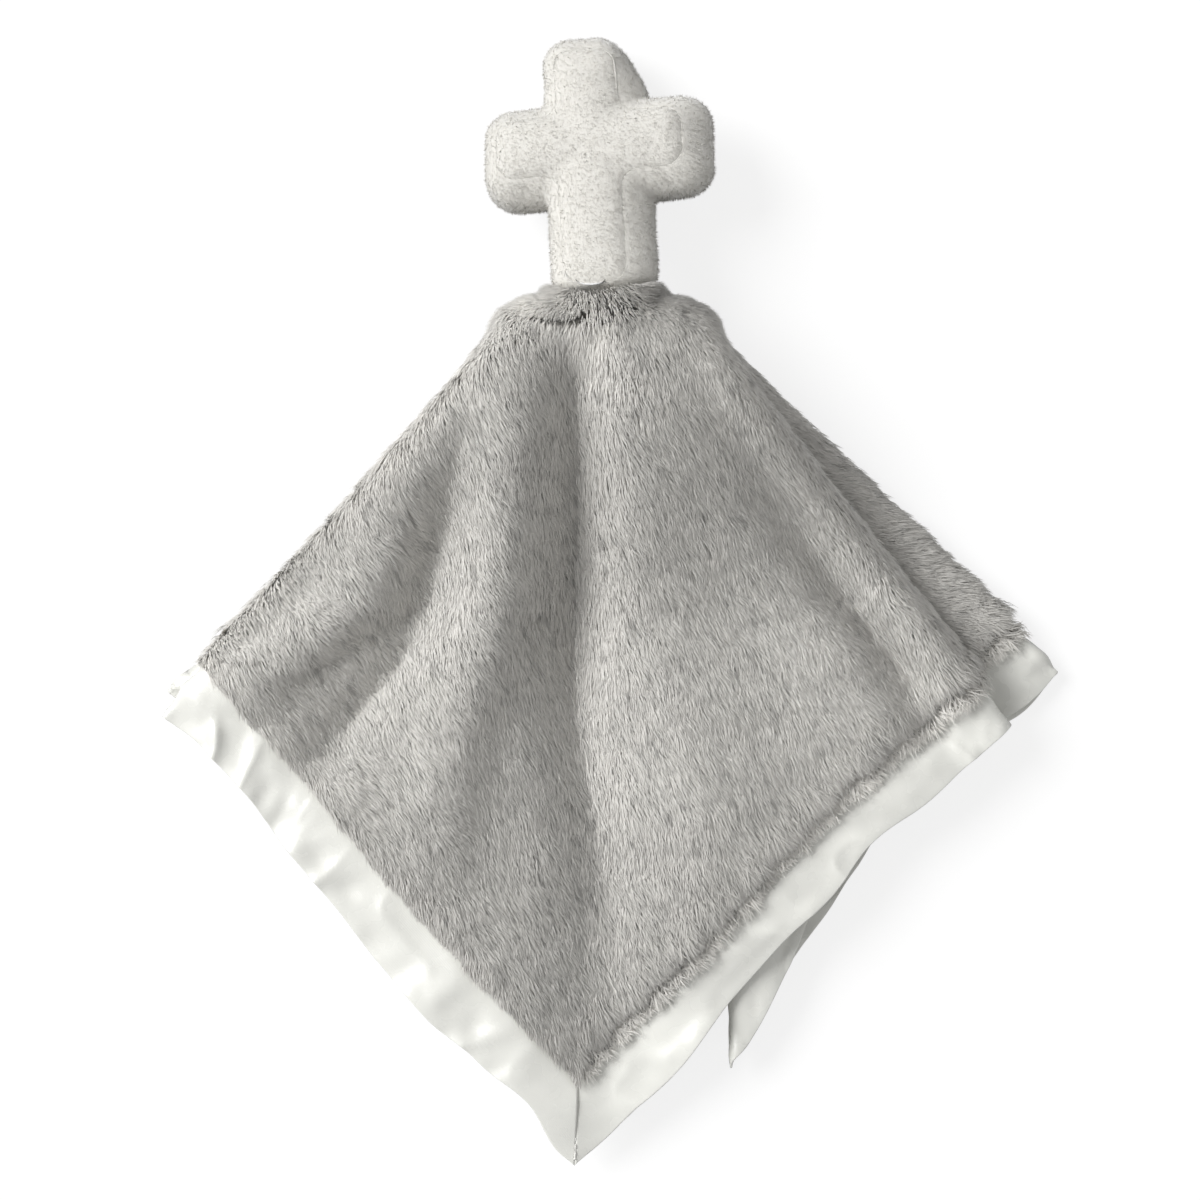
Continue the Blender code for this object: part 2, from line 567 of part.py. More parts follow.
def cross_outline(widening):
    """The cross's outline, widened past its panel seam, and the middle line behind each point.

    Each arm ends in two rounded corners, a rounded inner corner joins it to the next, and the leg
    ends in half an ellipse about the pivot. The leg's end reaches are left for cross_rows.
    """
    half = PANEL_HALF_WIDTH + widening
    corner = END_CORNER_SHARE * half
    inner = INNER_CORNER_RADIUS - (INNER_CORNER_RADIUS - INNER_CORNER_MIN) * widening / GUSSET_BULGE
    side_reach = CROSS_ARM_REACH - GUSSET_BULGE + widening
    top_reach = CROSS_TOP_REACH - GUSSET_BULGE + widening
    arcs = np.linspace(0.0, TURN / 4.0, ARC_POINTS)[:, None]
    outline, middle, leg_end = [], [], []
    for quarter, reach in enumerate((side_reach, top_reach, side_reach, None)):
        out = np.array((math.cos(quarter * TURN / 4.0), math.sin(quarter * TURN / 4.0)))
        across = np.array((-out[1], out[0]))
        if reach is None:
            sweep = np.linspace(-TURN / 4.0, TURN / 4.0, LEG_END_POINTS)[:, None]
            points = CROSS_CENTRE_HEIGHT * out + half * np.sin(sweep) * across
            spine = np.broadcast_to(CROSS_CENTRE_HEIGHT * out, points.shape)
            ends = np.cos(sweep)[:, 0]
        else:
            first = (reach - corner) * out - (half - corner) * across
            second = (reach - corner) * out + (half - corner) * across
            points = np.concatenate((
                first + corner * (np.sin(arcs) * out - np.cos(arcs) * across),
                second + corner * (np.cos(arcs) * out + np.sin(arcs) * across)))
            spine = np.broadcast_to((reach - widening - PANEL_HALF_WIDTH) * out, points.shape)
            ends = np.zeros(len(points))
        hollow = (half + inner) * (out + across)
        fillet = hollow - inner * (np.sin(arcs) * out + np.cos(arcs) * across)
        outline += [points, fillet]
        middle += [spine, np.zeros_like(fillet)]
        leg_end += [ends, np.zeros(len(fillet))]
    lift = np.array((0.0, CROSS_CENTRE_HEIGHT))
    return np.concatenate(outline) + lift, np.concatenate(middle) + lift, np.concatenate(leg_end)


def cross_rows():
    """The cross's outer surface as rows from the front middle line round to the back one.

    Across a panel each point runs from the middle line to the seam while the height falls from
    the crown. Round the gusset the outline widens and narrows as half an ellipse. The leg grows
    thinner towards the pivot, and its end keeps the neck's radius about the pivot.
    """
    seam, spine, _ = cross_outline(0.0)
    profile = [(share, 0.0, SEAM_HALF_DEPTH + PANEL_CROWN * (1.0 - share * share))
               for share in PANEL_ROW_SHARES]
    for turned in np.linspace(TURN / 4.0, -TURN / 4.0, GUSSET_ROWS):
        profile.append((1.0, GUSSET_BULGE * math.cos(turned), SEAM_HALF_DEPTH * math.sin(turned)))
    profile += [(share, widening, -height) for share, widening, height in profile[
        len(PANEL_ROW_SHARES) - 1::-1]]
    rows = []
    for share, widening, height in profile:
        outline, _, leg_end = cross_outline(widening)
        flat = spine + share * (outline - spine) if share < 1.0 else outline
        taper = LEG_DEPTH_SHARE + (1.0 - LEG_DEPTH_SHARE) * smooth_step(
            flat[:, 1] / LEG_TAPER_LENGTH)
        leg_height = height * LEG_DEPTH_SHARE
        end_reach = math.sqrt(max(NECK_RADIUS ** 2 - leg_height ** 2, 0.0))
        down = flat[:, 1] - leg_end * end_reach
        rows.append(np.stack((flat[:, 0], down, height * taper), axis=-1))
    return np.array(rows)


def inward_normals(rows):
    """Unit vectors into the cross: straight in under the panels, and square to the gusset."""
    beside = np.roll(rows, -1, axis=1) - np.roll(rows, 1, axis=1)
    along = np.empty_like(rows)
    along[1:-1] = rows[2:] - rows[:-2]
    along[0], along[-1] = rows[1] - rows[0], rows[-1] - rows[-2]
    panel = len(PANEL_ROW_SHARES)
    inward = np.cross(beside, along)
    inward[:panel - 1] = (0.0, 0.0, -1.0)
    inward[1 - panel:] = (0.0, 0.0, 1.0)
    return unit(inward)


def make_cross_pieces():
    """The panels, the gusset, the filling and the two seam threads, about the pivot."""
    rows = cross_rows()
    inward = inward_normals(rows)
    panel = len(PANEL_ROW_SHARES)
    back = len(rows) - panel
    seam_step = 0.5 * GAP
    rows[panel - 1] += seam_step * unit(rows[panel - 2] - rows[panel - 1])
    rows[panel] += seam_step * unit(rows[panel + 1] - rows[panel])
    rows[back - 1] += seam_step * unit(rows[back - 2] - rows[back - 1])
    rows[back] += seam_step * unit(rows[back + 1] - rows[back])
    for here, there in ((panel - 1, panel), (back - 1, back)):
        mitre = unit(inward[here] + inward[there])
        inward[here], inward[there] = mitre, mitre
    lined = rows + CLOTH_SKIN * inward
    filled = rows + (CLOTH_SKIN + GAP) * inward
    thread_reach = GAP + SEAM_THREAD_RADIUS
    front_seam = 0.5 * (rows[panel - 1] + rows[panel]) - thread_reach * inward[panel]
    back_seam = 0.5 * (rows[back - 1] + rows[back]) - thread_reach * inward[back]
    return (
        (lofted_object("cross_front_panel", rows[:panel], lined[:panel], walls=(-1,)),
         "white_plush"),
        (lofted_object("cross_gusset", rows[panel:back], lined[panel:back]), "white_plush"),
        (lofted_object("cross_back_panel", rows[back:], lined[back:], walls=(0,)), "white_plush"),
        (lofted_object("cross_stuffing", filled), "white_fill"),
        (thread_object("cross_front_seam", front_seam, SEAM_THREAD_RADIUS, True),
         "white_thread"),
        (thread_object("cross_back_seam", back_seam, SEAM_THREAD_RADIUS, True),
         "white_thread"),
    )


def unit(vectors):
    """The same directions at length 1."""
    return vectors / np.linalg.norm(vectors, axis=-1, keepdims=True)


def cross_turn():
    """How the cross is turned as it lies: turned about its leg, tilted back, leaning left."""
    return (Matrix.Rotation(CROSS_LEAN, 4, "Z") @ Matrix.Rotation(CROSS_TILT, 4, "X")
            @ Matrix.Rotation(CROSS_YAW, 4, "Y"))


def pivot_above_table():
    """Height of the neck pivot that lets the tilted cross's top end just clear the table."""
    turned = np.array(cross_turn().to_3x3())
    reach = cross_rows().reshape(-1, 3) @ turned.T
    return 2.0 * GAP + SEAM_THREAD_RADIUS - reach[:, 2].min()


def new_empty(name, parent, place, turn=None):
    """An axis or a frame that carries pieces."""
    empty = bpy.data.objects.new(name, None)
    empty.parent = parent
    empty.matrix_local = Matrix.Translation(place) @ (turn or Matrix.Identity(4))
    bpy.context.scene.collection.objects.link(empty)
    return empty


def centre_on_table(frame, things):
    """Move the frame so that the middle of the whole part's box is at the origin in X and Y."""
    bpy.context.view_layer.update()
    graph = bpy.context.evaluated_depsgraph_get()
    corners = []
    for thing in things:
        shown = thing.evaluated_get(graph)
        mesh = shown.to_mesh()
        corners += [shown.matrix_world @ vertex.co for vertex in mesh.vertices]
        shown.to_mesh_clear()
    corners = np.array(corners)
    middle = 0.5 * (corners.min(axis=0) + corners.max(axis=0))
    frame.location = (-middle[0], -middle[1], 0.0)
    bpy.context.view_layer.update()


def main():
    """Build the lovey from its named sizes."""
    for old in list(bpy.data.objects):
        bpy.data.objects.remove(old)
    collection = bpy.data.collections.new(PART_NAME)
    bpy.context.scene.collection.children.link(collection)
    pivot_height = pivot_above_table()
    frame = new_empty("lovey_frame", None, Vector())
    sway = new_empty("neck_sway_axis", frame, Vector((0.0, 0.0, pivot_height)))
    nod = new_empty("neck_nod_axis", sway, Vector())
    cross = new_empty("cross_frame", nod, Vector(), cross_turn())

    sides = ("right_front", "right_back", "left_back", "left_front")
    corners = ("front", "right", "back", "left")
    pieces = [
        (make_blanket_face(pivot_height), frame, "grey_plush"),
        (make_blanket_lining(pivot_height), frame, "ivory_lining"),
        (make_neck_patch(pivot_height), frame, "white_patch"),
        (make_neck_stitching(), sway, "white_thread"),
    ]
    for side, corner, start in zip(sides, corners, CORNER_ANGLES):
        pieces.append((make_border_strip("satin_border_" + side, start, pivot_height),
                       frame, "ivory_satin"))
        pieces.append((make_border_thread("border_stitching_" + side, start, pivot_height),
                       frame, "grey_thread"))
        pieces.append((make_mitre_thread("mitre_stitching_" + corner, start, pivot_height),
                       frame, "white_thread"))
    for thing, finish in make_cross_pieces():
        pieces.append((thing, cross, finish))
    things = [finish_object(thing, collection, parent, finish)
              for thing, parent, finish in pieces]
    centre_on_table(frame, things)
    place = nod.matrix_world.translation
    print("neck pivot, m: %.5f %.5f %.5f" % tuple(place))


main()
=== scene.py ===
"""Looks of the comfort blanket lovey: its pile, satin border, stitching and small stuffed cross.

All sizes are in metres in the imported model's own frame. The blanket is one flat square that a
formula folds down from its middle, and every piece of it is worked out on that folded surface.
"""
import json
import logging
import math
from dataclasses import dataclass
from enum import Enum

import bmesh
import bpy
import numpy as np
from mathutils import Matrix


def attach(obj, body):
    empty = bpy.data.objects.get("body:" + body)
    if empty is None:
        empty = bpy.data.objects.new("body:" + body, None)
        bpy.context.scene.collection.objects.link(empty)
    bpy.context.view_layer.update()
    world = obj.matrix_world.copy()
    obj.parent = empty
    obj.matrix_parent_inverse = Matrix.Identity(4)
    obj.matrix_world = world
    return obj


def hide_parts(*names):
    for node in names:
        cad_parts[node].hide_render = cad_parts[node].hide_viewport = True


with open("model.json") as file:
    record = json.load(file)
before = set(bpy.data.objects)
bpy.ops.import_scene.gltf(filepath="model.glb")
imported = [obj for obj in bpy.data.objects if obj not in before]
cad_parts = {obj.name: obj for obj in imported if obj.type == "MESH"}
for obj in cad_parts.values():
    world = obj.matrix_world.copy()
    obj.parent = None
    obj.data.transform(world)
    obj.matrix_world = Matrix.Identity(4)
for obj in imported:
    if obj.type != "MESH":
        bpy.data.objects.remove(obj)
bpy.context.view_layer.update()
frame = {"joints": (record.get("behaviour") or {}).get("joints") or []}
LOG = logging.getLogger("lovey")
MM = 0.001
TURN = 2.0 * math.pi
BAKE_MAP = "OFBake"
CLOTH_MAP = "Cloth"


class Side(Enum):
    """The sides of the square, each with the flat angle of its middle in degrees."""

    RIGHT_FRONT = 45.0
    RIGHT_BACK = 135.0
    LEFT_BACK = 225.0
    LEFT_FRONT = 315.0

    @property
    def node(self) -> str:
        """The side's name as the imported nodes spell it."""
        return self.name.lower()

    @property
    def middle(self) -> float:
        """Flat angle of the side's middle, in radians."""
        return math.radians(self.value)


class Corner(Enum):
    """The corners of the square, each with its flat angle in degrees."""

    FRONT = 0.0
    RIGHT = 90.0
    BACK = 180.0
    LEFT = 270.0


def unit(vectors: np.ndarray) -> np.ndarray:
    """The same directions at length 1."""
    return vectors / np.maximum(np.linalg.norm(vectors, axis=-1, keepdims=True), 1e-12)


def smooth_step(share: np.ndarray) -> np.ndarray:
    """3x^2 - 2x^3, with x held between 0 and 1."""
    held = np.clip(share, 0.0, 1.0)
    return held * held * (3.0 - 2.0 * held)


def rise(value: np.ndarray, start: float, run: float) -> np.ndarray:
    """A smooth step from 0 at the start to 1 after the run."""
    return smooth_step((value - start) / run)


def fall(value: np.ndarray, start: float, run: float) -> np.ndarray:
    """A smooth step from 1 at the start to 0 after the run."""
    return 1.0 - rise(value, start, run)


def patchy(across: np.ndarray, down: np.ndarray, size: float, seed: int) -> np.ndarray:
    """Smooth random field from -1 to 1: a lattice of seeded values, blended with 3x^2 - 2x^3.

    Args:
        across: First place on the lattice's plane, in metres.
        down: Second place on it.
        size: Distance between lattice points.
        seed: Which field.

    Returns:
        The field's value at each place.
    """
    lattice = 97
    table = np.random.default_rng(seed).uniform(-1.0, 1.0, (lattice, lattice))
    x, y = np.asarray(across) / size, np.asarray(down) / size
    left, low = np.floor(x).astype(int), np.floor(y).astype(int)
    fx, fy = smooth_step(x - left), smooth_step(y - low)
    value = [[table[(left + i) % lattice, (low + j) % lattice] for j in (0, 1)] for i in (0, 1)]
    near = value[0][0] * (1.0 - fy) + value[0][1] * fy
    far = value[1][0] * (1.0 - fy) + value[1][1] * fy
    return near * (1.0 - fx) + far * fx


def grid_quads(rows: int, columns: int, wrap: bool) -> np.ndarray:
    """Corner indices of a grid's quads, wound so that rows crossed with columns points out.

    Args:
        rows: Rows of points.
        columns: Columns of points.
        wrap: Whether the last column joins the first.

    Returns:
        An array of quads.
    """
    row, column = np.meshgrid(np.arange(rows - 1), np.arange(columns if wrap else columns - 1),
                              indexing="ij")
    beside = (column + 1) % columns
    corners = (row * columns + column, (row + 1) * columns + column,
               (row + 1) * columns + beside, row * columns + beside)
    return np.stack(corners, axis=-1).reshape(-1, 4)


def new_piece(name: str, points: np.ndarray, quads: np.ndarray, triangles: np.ndarray | None = None,
              places: np.ndarray | None = None, map_name: str = CLOTH_MAP) -> bpy.types.Object:
    """A mesh object from whole arrays, at the origin.

    Args:
        name: The piece's name.
        points: Vertices, any shape ending in 3.
        quads: Corner indices of the four-sided faces.
        triangles: Corner indices of the three-sided faces.
        places: A map place for each vertex, or none.
        map_name: What the map is called.

    Returns:
        The new object, shaded smooth.
    """
    points = np.asarray(points, float).reshape(-1, 3)
    triangles = np.zeros((0, 3), int) if triangles is None else triangles
    corners = np.concatenate((quads.ravel(), triangles.ravel())).astype(np.int32)
    sizes = np.concatenate((np.full(len(quads), 4), np.full(len(triangles), 3))).astype(np.int32)
    mesh = bpy.data.meshes.new(name)
    mesh.vertices.add(len(points))
    mesh.vertices.foreach_set("co", points.astype(np.float32).ravel())
    mesh.loops.add(len(corners))
    mesh.loops.foreach_set("vertex_index", corners)
    mesh.polygons.add(len(sizes))
    mesh.polygons.foreach_set("loop_start", np.concatenate(((0,), np.cumsum(sizes)[:-1])))
    mesh.update(calc_edges=True)
    if places is not None:
        layer = mesh.uv_layers.new(name=map_name)
        layer.data.foreach_set("uv", places.reshape(-1, 2)[corners].astype(np.float32).ravel())
    mesh.shade_smooth()
    piece = bpy.data.objects.new(name, mesh)
    bpy.context.scene.collection.objects.link(piece)
    return piece


def shell_faces(rows: int, columns: int) -> tuple[np.ndarray, np.ndarray]:
    """Faces of a closed round cloth: an outer and an inner sheet with a pole, joined at the rim.

    Args:
        rows: Rows of each sheet, the first of which is drawn together into its pole.
        columns: Columns of each sheet, closed round.

    Returns:
        Quads and triangles over the outer sheet's points followed by the inner sheet's.
    """
    count = rows * columns
    outer = grid_quads(rows, columns, True)[columns:]
    inner = outer[:, ::-1] + count
    here = np.arange(columns)
    beside = (here + 1) % columns
    rim = (rows - 1) * columns
    wall = np.stack((rim + here, rim + here + count, rim + beside + count, rim + beside), axis=-1)
    fan = np.stack((np.zeros_like(here), columns + here, columns + beside), axis=-1)
    return np.concatenate((outer, inner, wall)), np.concatenate((fan, fan[:, ::-1] + count))


def tube_piece(name: str, line: np.ndarray, up: np.ndarray, radius: float, sides: int,
               closed: bool = False) -> bpy.types.Object:
    """A round thread: a circle of the given radius carried along a line of points.

    Args:
        name: The piece's name.
        line: Points of the thread's middle.
        up: A direction across the line at each point.
        radius: Half the thread's thickness.
        sides: Points round the thread.
        closed: Whether the line's end joins its start.

    Returns:
        The thread, with its length and its round on the map, in metres and turns.
    """
    if closed:
        along = unit(np.roll(line, -1, axis=0) - np.roll(line, 1, axis=0))
    else:
        along = unit(np.gradient(line, axis=0))
    side = unit(np.cross(along, up))
    over = np.cross(side, along)
    turned = np.linspace(0.0, TURN, sides, endpoint=False)[None, :, None]
    points = line[:, None] + radius * (np.cos(turned) * side[:, None] + np.sin(turned) * over[:, None])
    count = len(line)
    quads = grid_quads(count, sides, True)[:, ::-1]
    triangles = None
    if closed:
        here, last = np.arange(sides), (count - 1) * sides
        beside = (here + 1) % sides
        quads = np.concatenate((quads, np.stack((last + here, last + beside, beside, here), axis=-1)))
    else:
        ring, points = np.arange(sides), np.concatenate((points.reshape(-1, 3), line[[0, -1]]))
        beside, last, cap = (ring + 1) % sides, (count - 1) * sides, count * sides
        start = np.stack((np.full(sides, cap), beside, ring), axis=-1)
        end = np.stack((np.full(sides, cap + 1), last + ring, last + beside), axis=-1)
        triangles = np.concatenate((start, end))
    gone = np.concatenate(((0.0,), np.cumsum(np.linalg.norm(np.diff(line, axis=0), axis=-1))))
    places = np.stack(np.broadcast_arrays(gone[:, None], turned[..., 0] / TURN), axis=-1).reshape(-1, 2)
    if not closed:
        places = np.concatenate((places, [[0.0, 0.5], [gone[-1], 0.5]]))
    return new_piece(name, points, quads, triangles, places)


# Materials


def socket(node: bpy.types.Node, name: str | int, value: object) -> None:
    """Set one of a node's inputs to a constant."""
    node.inputs[name].default_value = value


def step(tree: bpy.types.NodeTree, kind: str, inputs: dict[str | int, object], operation: str = "",
         effect: bpy.types.NodeTree | None = None) -> bpy.types.Node:
    """One node of a pattern, with its inputs linked or set.

    Args:
        tree: The nodes of the material or of the effect.
        kind: The node's kind, without the word that all kinds start with.
        inputs: For an input's name or place, the socket that feeds it or a constant.
        operation: What the node works out, where it has a choice.
        effect: The effect that a group node stands for.

    Returns:
        The node.
    """
    node = tree.nodes.new("ShaderNode" + kind)
    if operation:
        node.operation = operation
    if effect:
        node.node_tree = effect
    for name, value in inputs.items():
        if isinstance(value, bpy.types.NodeSocket):
            tree.links.new(value, node.inputs[name])
        else:
            socket(node, name, value)
    return node


def read_map(tree: bpy.types.NodeTree, name: str) -> bpy.types.NodeSocket:
    """The place on a piece's own map."""
    read = step(tree, "UVMap", {})
    read.uv_map = name
    return read.outputs["UV"]


def effect_group(name: str, inputs: dict[str, object], outputs: dict[str, str]) -> bpy.types.NodeTree:
    """An empty shader node group with named inputs and outputs.

    Args:
        name: The effect's name.
        inputs: Each input's name and its value: a number, a place of three or a colour of four.
        outputs: Each output's name and its kind of socket.

    Returns:
        The group, with its input and output nodes named start and end.
    """
    group = bpy.data.node_groups.new(name, "ShaderNodeTree")
    for label, value in inputs.items():
        kind = "NodeSocketFloat" if isinstance(value, float) else (
            "NodeSocketColor" if len(value) == 4 else "NodeSocketVector")
        group.interface.new_socket(label, in_out="INPUT", socket_type=kind).default_value = value
    for label, kind in outputs.items():
        group.interface.new_socket(label, in_out="OUTPUT", socket_type=kind)
    group.nodes.new("NodeGroupInput").name = "start"
    group.nodes.new("NodeGroupOutput").name = "end"
    return group


def fade_effect() -> bpy.types.NodeTree:
    """Soft patches of lighter and darker cloth.

    Colour * (1 + strength * patch), where patch is the noise's 0.3 to 0.7 spread from -1/2 to 1/2.

    Returns:
        The effect, made once.
    """
    known = bpy.data.node_groups.get("cloth_fade")
    if known:
        return known
    group = effect_group("cloth_fade", {"Place": (0.0, 0.0, 0.0), "Color": (1.0, 1.0, 1.0, 1.0),
                                        "Size": 60.0, "Strength": 0.1}, {"Color": "NodeSocketColor"})
    given = group.nodes["start"].outputs
    noise = step(group, "TexNoise", {"Vector": given["Place"], "Scale": given["Size"], "Detail": 4.0})
    patch = step(group, "MapRange", {"Value": noise.outputs["Fac"], "From Min": 0.3, "From Max": 0.7,
                                     "To Min": -0.5, "To Max": 0.5})
    factor = step(group, "Math", {0: patch.outputs["Result"], 1: given["Strength"], 2: 1.0},
                  "MULTIPLY_ADD")
    tint = step(group, "VectorMath", {0: given["Color"], "Scale": factor.outputs[0]}, "SCALE")
    group.links.new(tint.outputs["Vector"], group.nodes["end"].inputs["Color"])
    return group


def weave_effect() -> bpy.types.NodeTree:
    """Crossing yarns: the larger of |sin(kx)| and |sin(ky)|, with k radians of yarn per metre.

    Returns:
        The effect, made once.
    """
    known = bpy.data.node_groups.get("cloth_weave")
    if known:
        return known
    group = effect_group("cloth_weave", {"Place": (0.0, 0.0, 0.0), "Warp": 2500.0, "Weft": 2500.0},
                         {"Height": "NodeSocketFloat"})
    given = group.nodes["start"].outputs
    split = step(group, "SeparateXYZ", {"Vector": given["Place"]})
    waves = []
    for axis, count in (("X", "Warp"), ("Y", "Weft")):
        turned = step(group, "Math", {0: split.outputs[axis], 1: given[count]}, "MULTIPLY")
        wave = step(group, "Math", {0: turned.outputs[0]}, "SINE")
        waves.append(step(group, "Math", {0: wave.outputs[0]}, "ABSOLUTE").outputs[0])
    higher = step(group, "Math", dict(enumerate(waves)), "MAXIMUM")
    group.links.new(higher.outputs[0], group.nodes["end"].inputs["Height"])
    return group


@dataclass(frozen=True)
class Finish:
    """What every finish has: its name, its colour and the shader's plain numbers."""

    name: str
    colour: tuple[float, float, float]
    roughness: float
    sheen: float = 0.0
    sheen_roughness: float = 0.5
    specular: float = 0.3

    def start(self) -> tuple[bpy.types.Material, bpy.types.NodeTree, bpy.types.Node]:
        """A new material with the plain numbers set on its shader's own sockets.

        Returns:
            The material, its node tree and its Principled shader.
        """
        material = bpy.data.materials.new(self.name)
        material.use_nodes = True
        shader = material.node_tree.nodes["Principled BSDF"]
        socket(shader, "Base Color", (*self.colour, 1.0))
        socket(shader, "Roughness", self.roughness)
        socket(shader, "Sheen Weight", self.sheen)
        socket(shader, "Sheen Roughness", self.sheen_roughness)
        socket(shader, "Specular IOR Level", self.specular)
        return material, material.node_tree, shader

    def fade(self, tree: bpy.types.NodeTree, shader: bpy.types.Node, size: float,
             strength: float) -> bpy.types.NodeSocket:
        """Give the shader the finish's colour with soft patches in it.

        Args:
            tree: The material's nodes.
            shader: The shader that is coloured.
            size: Patches per metre.
            strength: How far the colour wanders.

        Returns:
            The place that the patches are read at, for the finish's other patterns.
        """
        place = tree.nodes.new("ShaderNodeTexCoord").outputs["Object"]
        faded = step(tree, "Group", {"Place": place, "Color": (*self.colour, 1.0), "Size": size,
                                     "Strength": strength}, effect=fade_effect())
        tree.links.new(faded.outputs["Color"], shader.inputs["Base Color"])
        return place

    def bumped(self, tree: bpy.types.NodeTree, shader: bpy.types.Node, height: bpy.types.NodeSocket,
               strength: float, depth: float) -> None:
        """Let a height socket dent the shader's normal.

        Args:
            tree: The material's nodes.
            shader: The shader that is dented.
            height: The height's socket, from 0 to 1.
            strength: How strongly it shows.
            depth: The height of 1, in metres.
        """
        bump = step(tree, "Bump", {"Strength": strength, "Distance": depth, "Height": height})
        tree.links.new(bump.outputs["Normal"], shader.inputs["Normal"])


@dataclass(frozen=True)
class StrandFinish(Finish):
    """Pile strands: the map's first place is the strand's tone, its second runs root to tip."""

    root: float = 0.45
    spread: float = 0.5
    root_warmth: tuple[float, float, float] = (1.0, 0.985, 0.96)
    full_colour_at: float = 0.8

    def build(self) -> bpy.types.Material:
        """Colour = tip colour * (root + (1 - root) * along) * (1 + spread * (tone - 1/2)).

        The root is a little warmer than that, and along is 1 from full_colour_at on. The
        darkening towards the root is painted shade deep in the pile.

        Returns:
            The material.
        """
        material, tree, shader = self.start()
        split = step(tree, "SeparateXYZ", {"Vector": read_map(tree, BAKE_MAP)})
        along = step(tree, "ValToRGB", {"Fac": split.outputs["Y"]})
        ends = along.color_ramp.elements
        # Painted shade: the root end of each strand is darker than its tip.
        rooted = (part * self.root * warm for part, warm in zip(self.colour, self.root_warmth))
        ends[0].color = (*rooted, 1.0)
        ends[1].color = (*self.colour, 1.0)
        ends[1].position = self.full_colour_at
        tone = step(tree, "MapRange", {"Value": split.outputs["X"], "To Min": 1.0 - 0.5 * self.spread,
                                       "To Max": 1.0 + 0.5 * self.spread})
        tint = step(tree, "VectorMath", {0: along.outputs["Color"], "Scale": tone.outputs["Result"]},
                    "SCALE")
        tree.links.new(tint.outputs["Vector"], shader.inputs["Base Color"])
        return material


@dataclass(frozen=True)
class NappedFinish(Finish):
    """Short velour or the ground of a plush: fine grain, soft patches and a velvety rim."""

    patches: float = 45.0
    patch_strength: float = 0.08
    grain: float = 2600.0
    grain_detail: float = 3.0
    grain_roughness: float = 0.7
    grain_strength: float = 0.6
    grain_depth: float = 0.25 * MM

    def build(self) -> bpy.types.Material:
        """Patchy colour, with fine noise as the pile's grain.

        Returns:
            The material.
        """
        material, tree, shader = self.start()
        place = self.fade(tree, shader, self.patches, self.patch_strength)
        grain = step(tree, "TexNoise", {"Scale": self.grain, "Detail": self.grain_detail,
                                        "Roughness": self.grain_roughness, "Vector": place})
        self.bumped(tree, shader, grain.outputs["Fac"], self.grain_strength, self.grain_depth)
        return material


@dataclass(frozen=True)
class WovenFinish(Finish):
    """Woven cloth with its yarns along the piece's map, in metres."""

    warp: float = 9000.0
    weft: float = 6000.0
    depth: float = 0.03 * MM
    strength: float = 0.5
    patches: float = 60.0
    patch_strength: float = 0.06
    gloss_patches: float = 150.0
    glossier: float = 0.07
    duller: float = 0.09
    crease: float = 0.0
    creases: float = 110.0
    crease_detail: float = 2.0
    crease_distortion: float = 0.6

    def build(self) -> bpy.types.Material:
        """Patchy colour and gloss, with the yarns and faint pressed creases as the bump.

        Returns:
            The material.
        """
        material, tree, shader = self.start()
        place = self.fade(tree, shader, self.patches, self.patch_strength)
        weave = step(tree, "Group", {"Warp": self.warp, "Weft": self.weft,
                                     "Place": read_map(tree, CLOTH_MAP)}, effect=weave_effect())
        gloss = step(tree, "TexNoise", {"Scale": self.gloss_patches, "Vector": place})
        rough = step(tree, "MapRange", {"Value": gloss.outputs["Fac"],
                                        "To Min": self.roughness - self.glossier,
                                        "To Max": self.roughness + self.duller})
        tree.links.new(rough.outputs["Result"], shader.inputs["Roughness"])
        height = weave.outputs["Height"]
        if self.crease:
            fold = step(tree, "TexNoise", {"Scale": self.creases, "Detail": self.crease_detail,
                                           "Distortion": self.crease_distortion, "Vector": place})
            height = step(tree, "Math", {0: fold.outputs["Fac"], 1: self.crease, 2: height},
                          "MULTIPLY_ADD").outputs[0]
        self.bumped(tree, shader, height, self.strength, self.depth)
        return material


@dataclass(frozen=True)
class ThreadFinish(Finish):
    """Twisted sewing thread, its plies winding along the map."""

    twists: float = 900.0
    depth: float = 0.08 * MM
    strength: float = 0.7
    patches: float = 400.0
    patch_strength: float = 0.25

    def build(self) -> bpy.types.Material:
        """Patchy colour, with bands at a slant to the thread as the plies.

        Returns:
            The material.
        """
        material, tree, shader = self.start()
        self.fade(tree, shader, self.patches, self.patch_strength)
        slant = step(tree, "Mapping", {"Vector": read_map(tree, CLOTH_MAP), "Scale": (self.twists, 1.0, 1.0)})
        split = step(tree, "SeparateXYZ", {"Vector": slant.outputs["Vector"]})
        both = step(tree, "Math", {0: split.outputs["X"], 1: split.outputs["Y"]}, "ADD")
        wave = step(tree, "Math", {0: both.outputs[0], 1: 0.5}, "PINGPONG")
        self.bumped(tree, shader, wave.outputs[0], self.strength, self.depth)
        return material


GREY_PILE = StrandFinish("grey_plush_pile", (0.715, 0.70, 0.665), 0.85, sheen=0.2, root=0.72,
                         spread=0.62)
GREY_GROUND = NappedFinish("grey_plush_ground", (0.36, 0.35, 0.33), 0.95, sheen=0.2)
WHITE_FUZZ = StrandFinish("white_velour_fuzz", (0.77, 0.755, 0.71), 0.85, sheen=0.3, root=0.92,
                          spread=0.1)
WHITE_VELOUR = NappedFinish("white_velour", (0.76, 0.745, 0.70), 0.92, sheen=1.0,
                            patches=90.0, patch_strength=0.07, grain=3200.0)
IVORY_SATIN = WovenFinish("ivory_satin", (0.84, 0.84, 0.79), 0.26, sheen=0.15, specular=0.8,
                          crease=0.7, depth=0.05 * MM)
IVORY_LINING = WovenFinish("ivory_lining", (0.72, 0.72, 0.69), 0.42, specular=0.45)
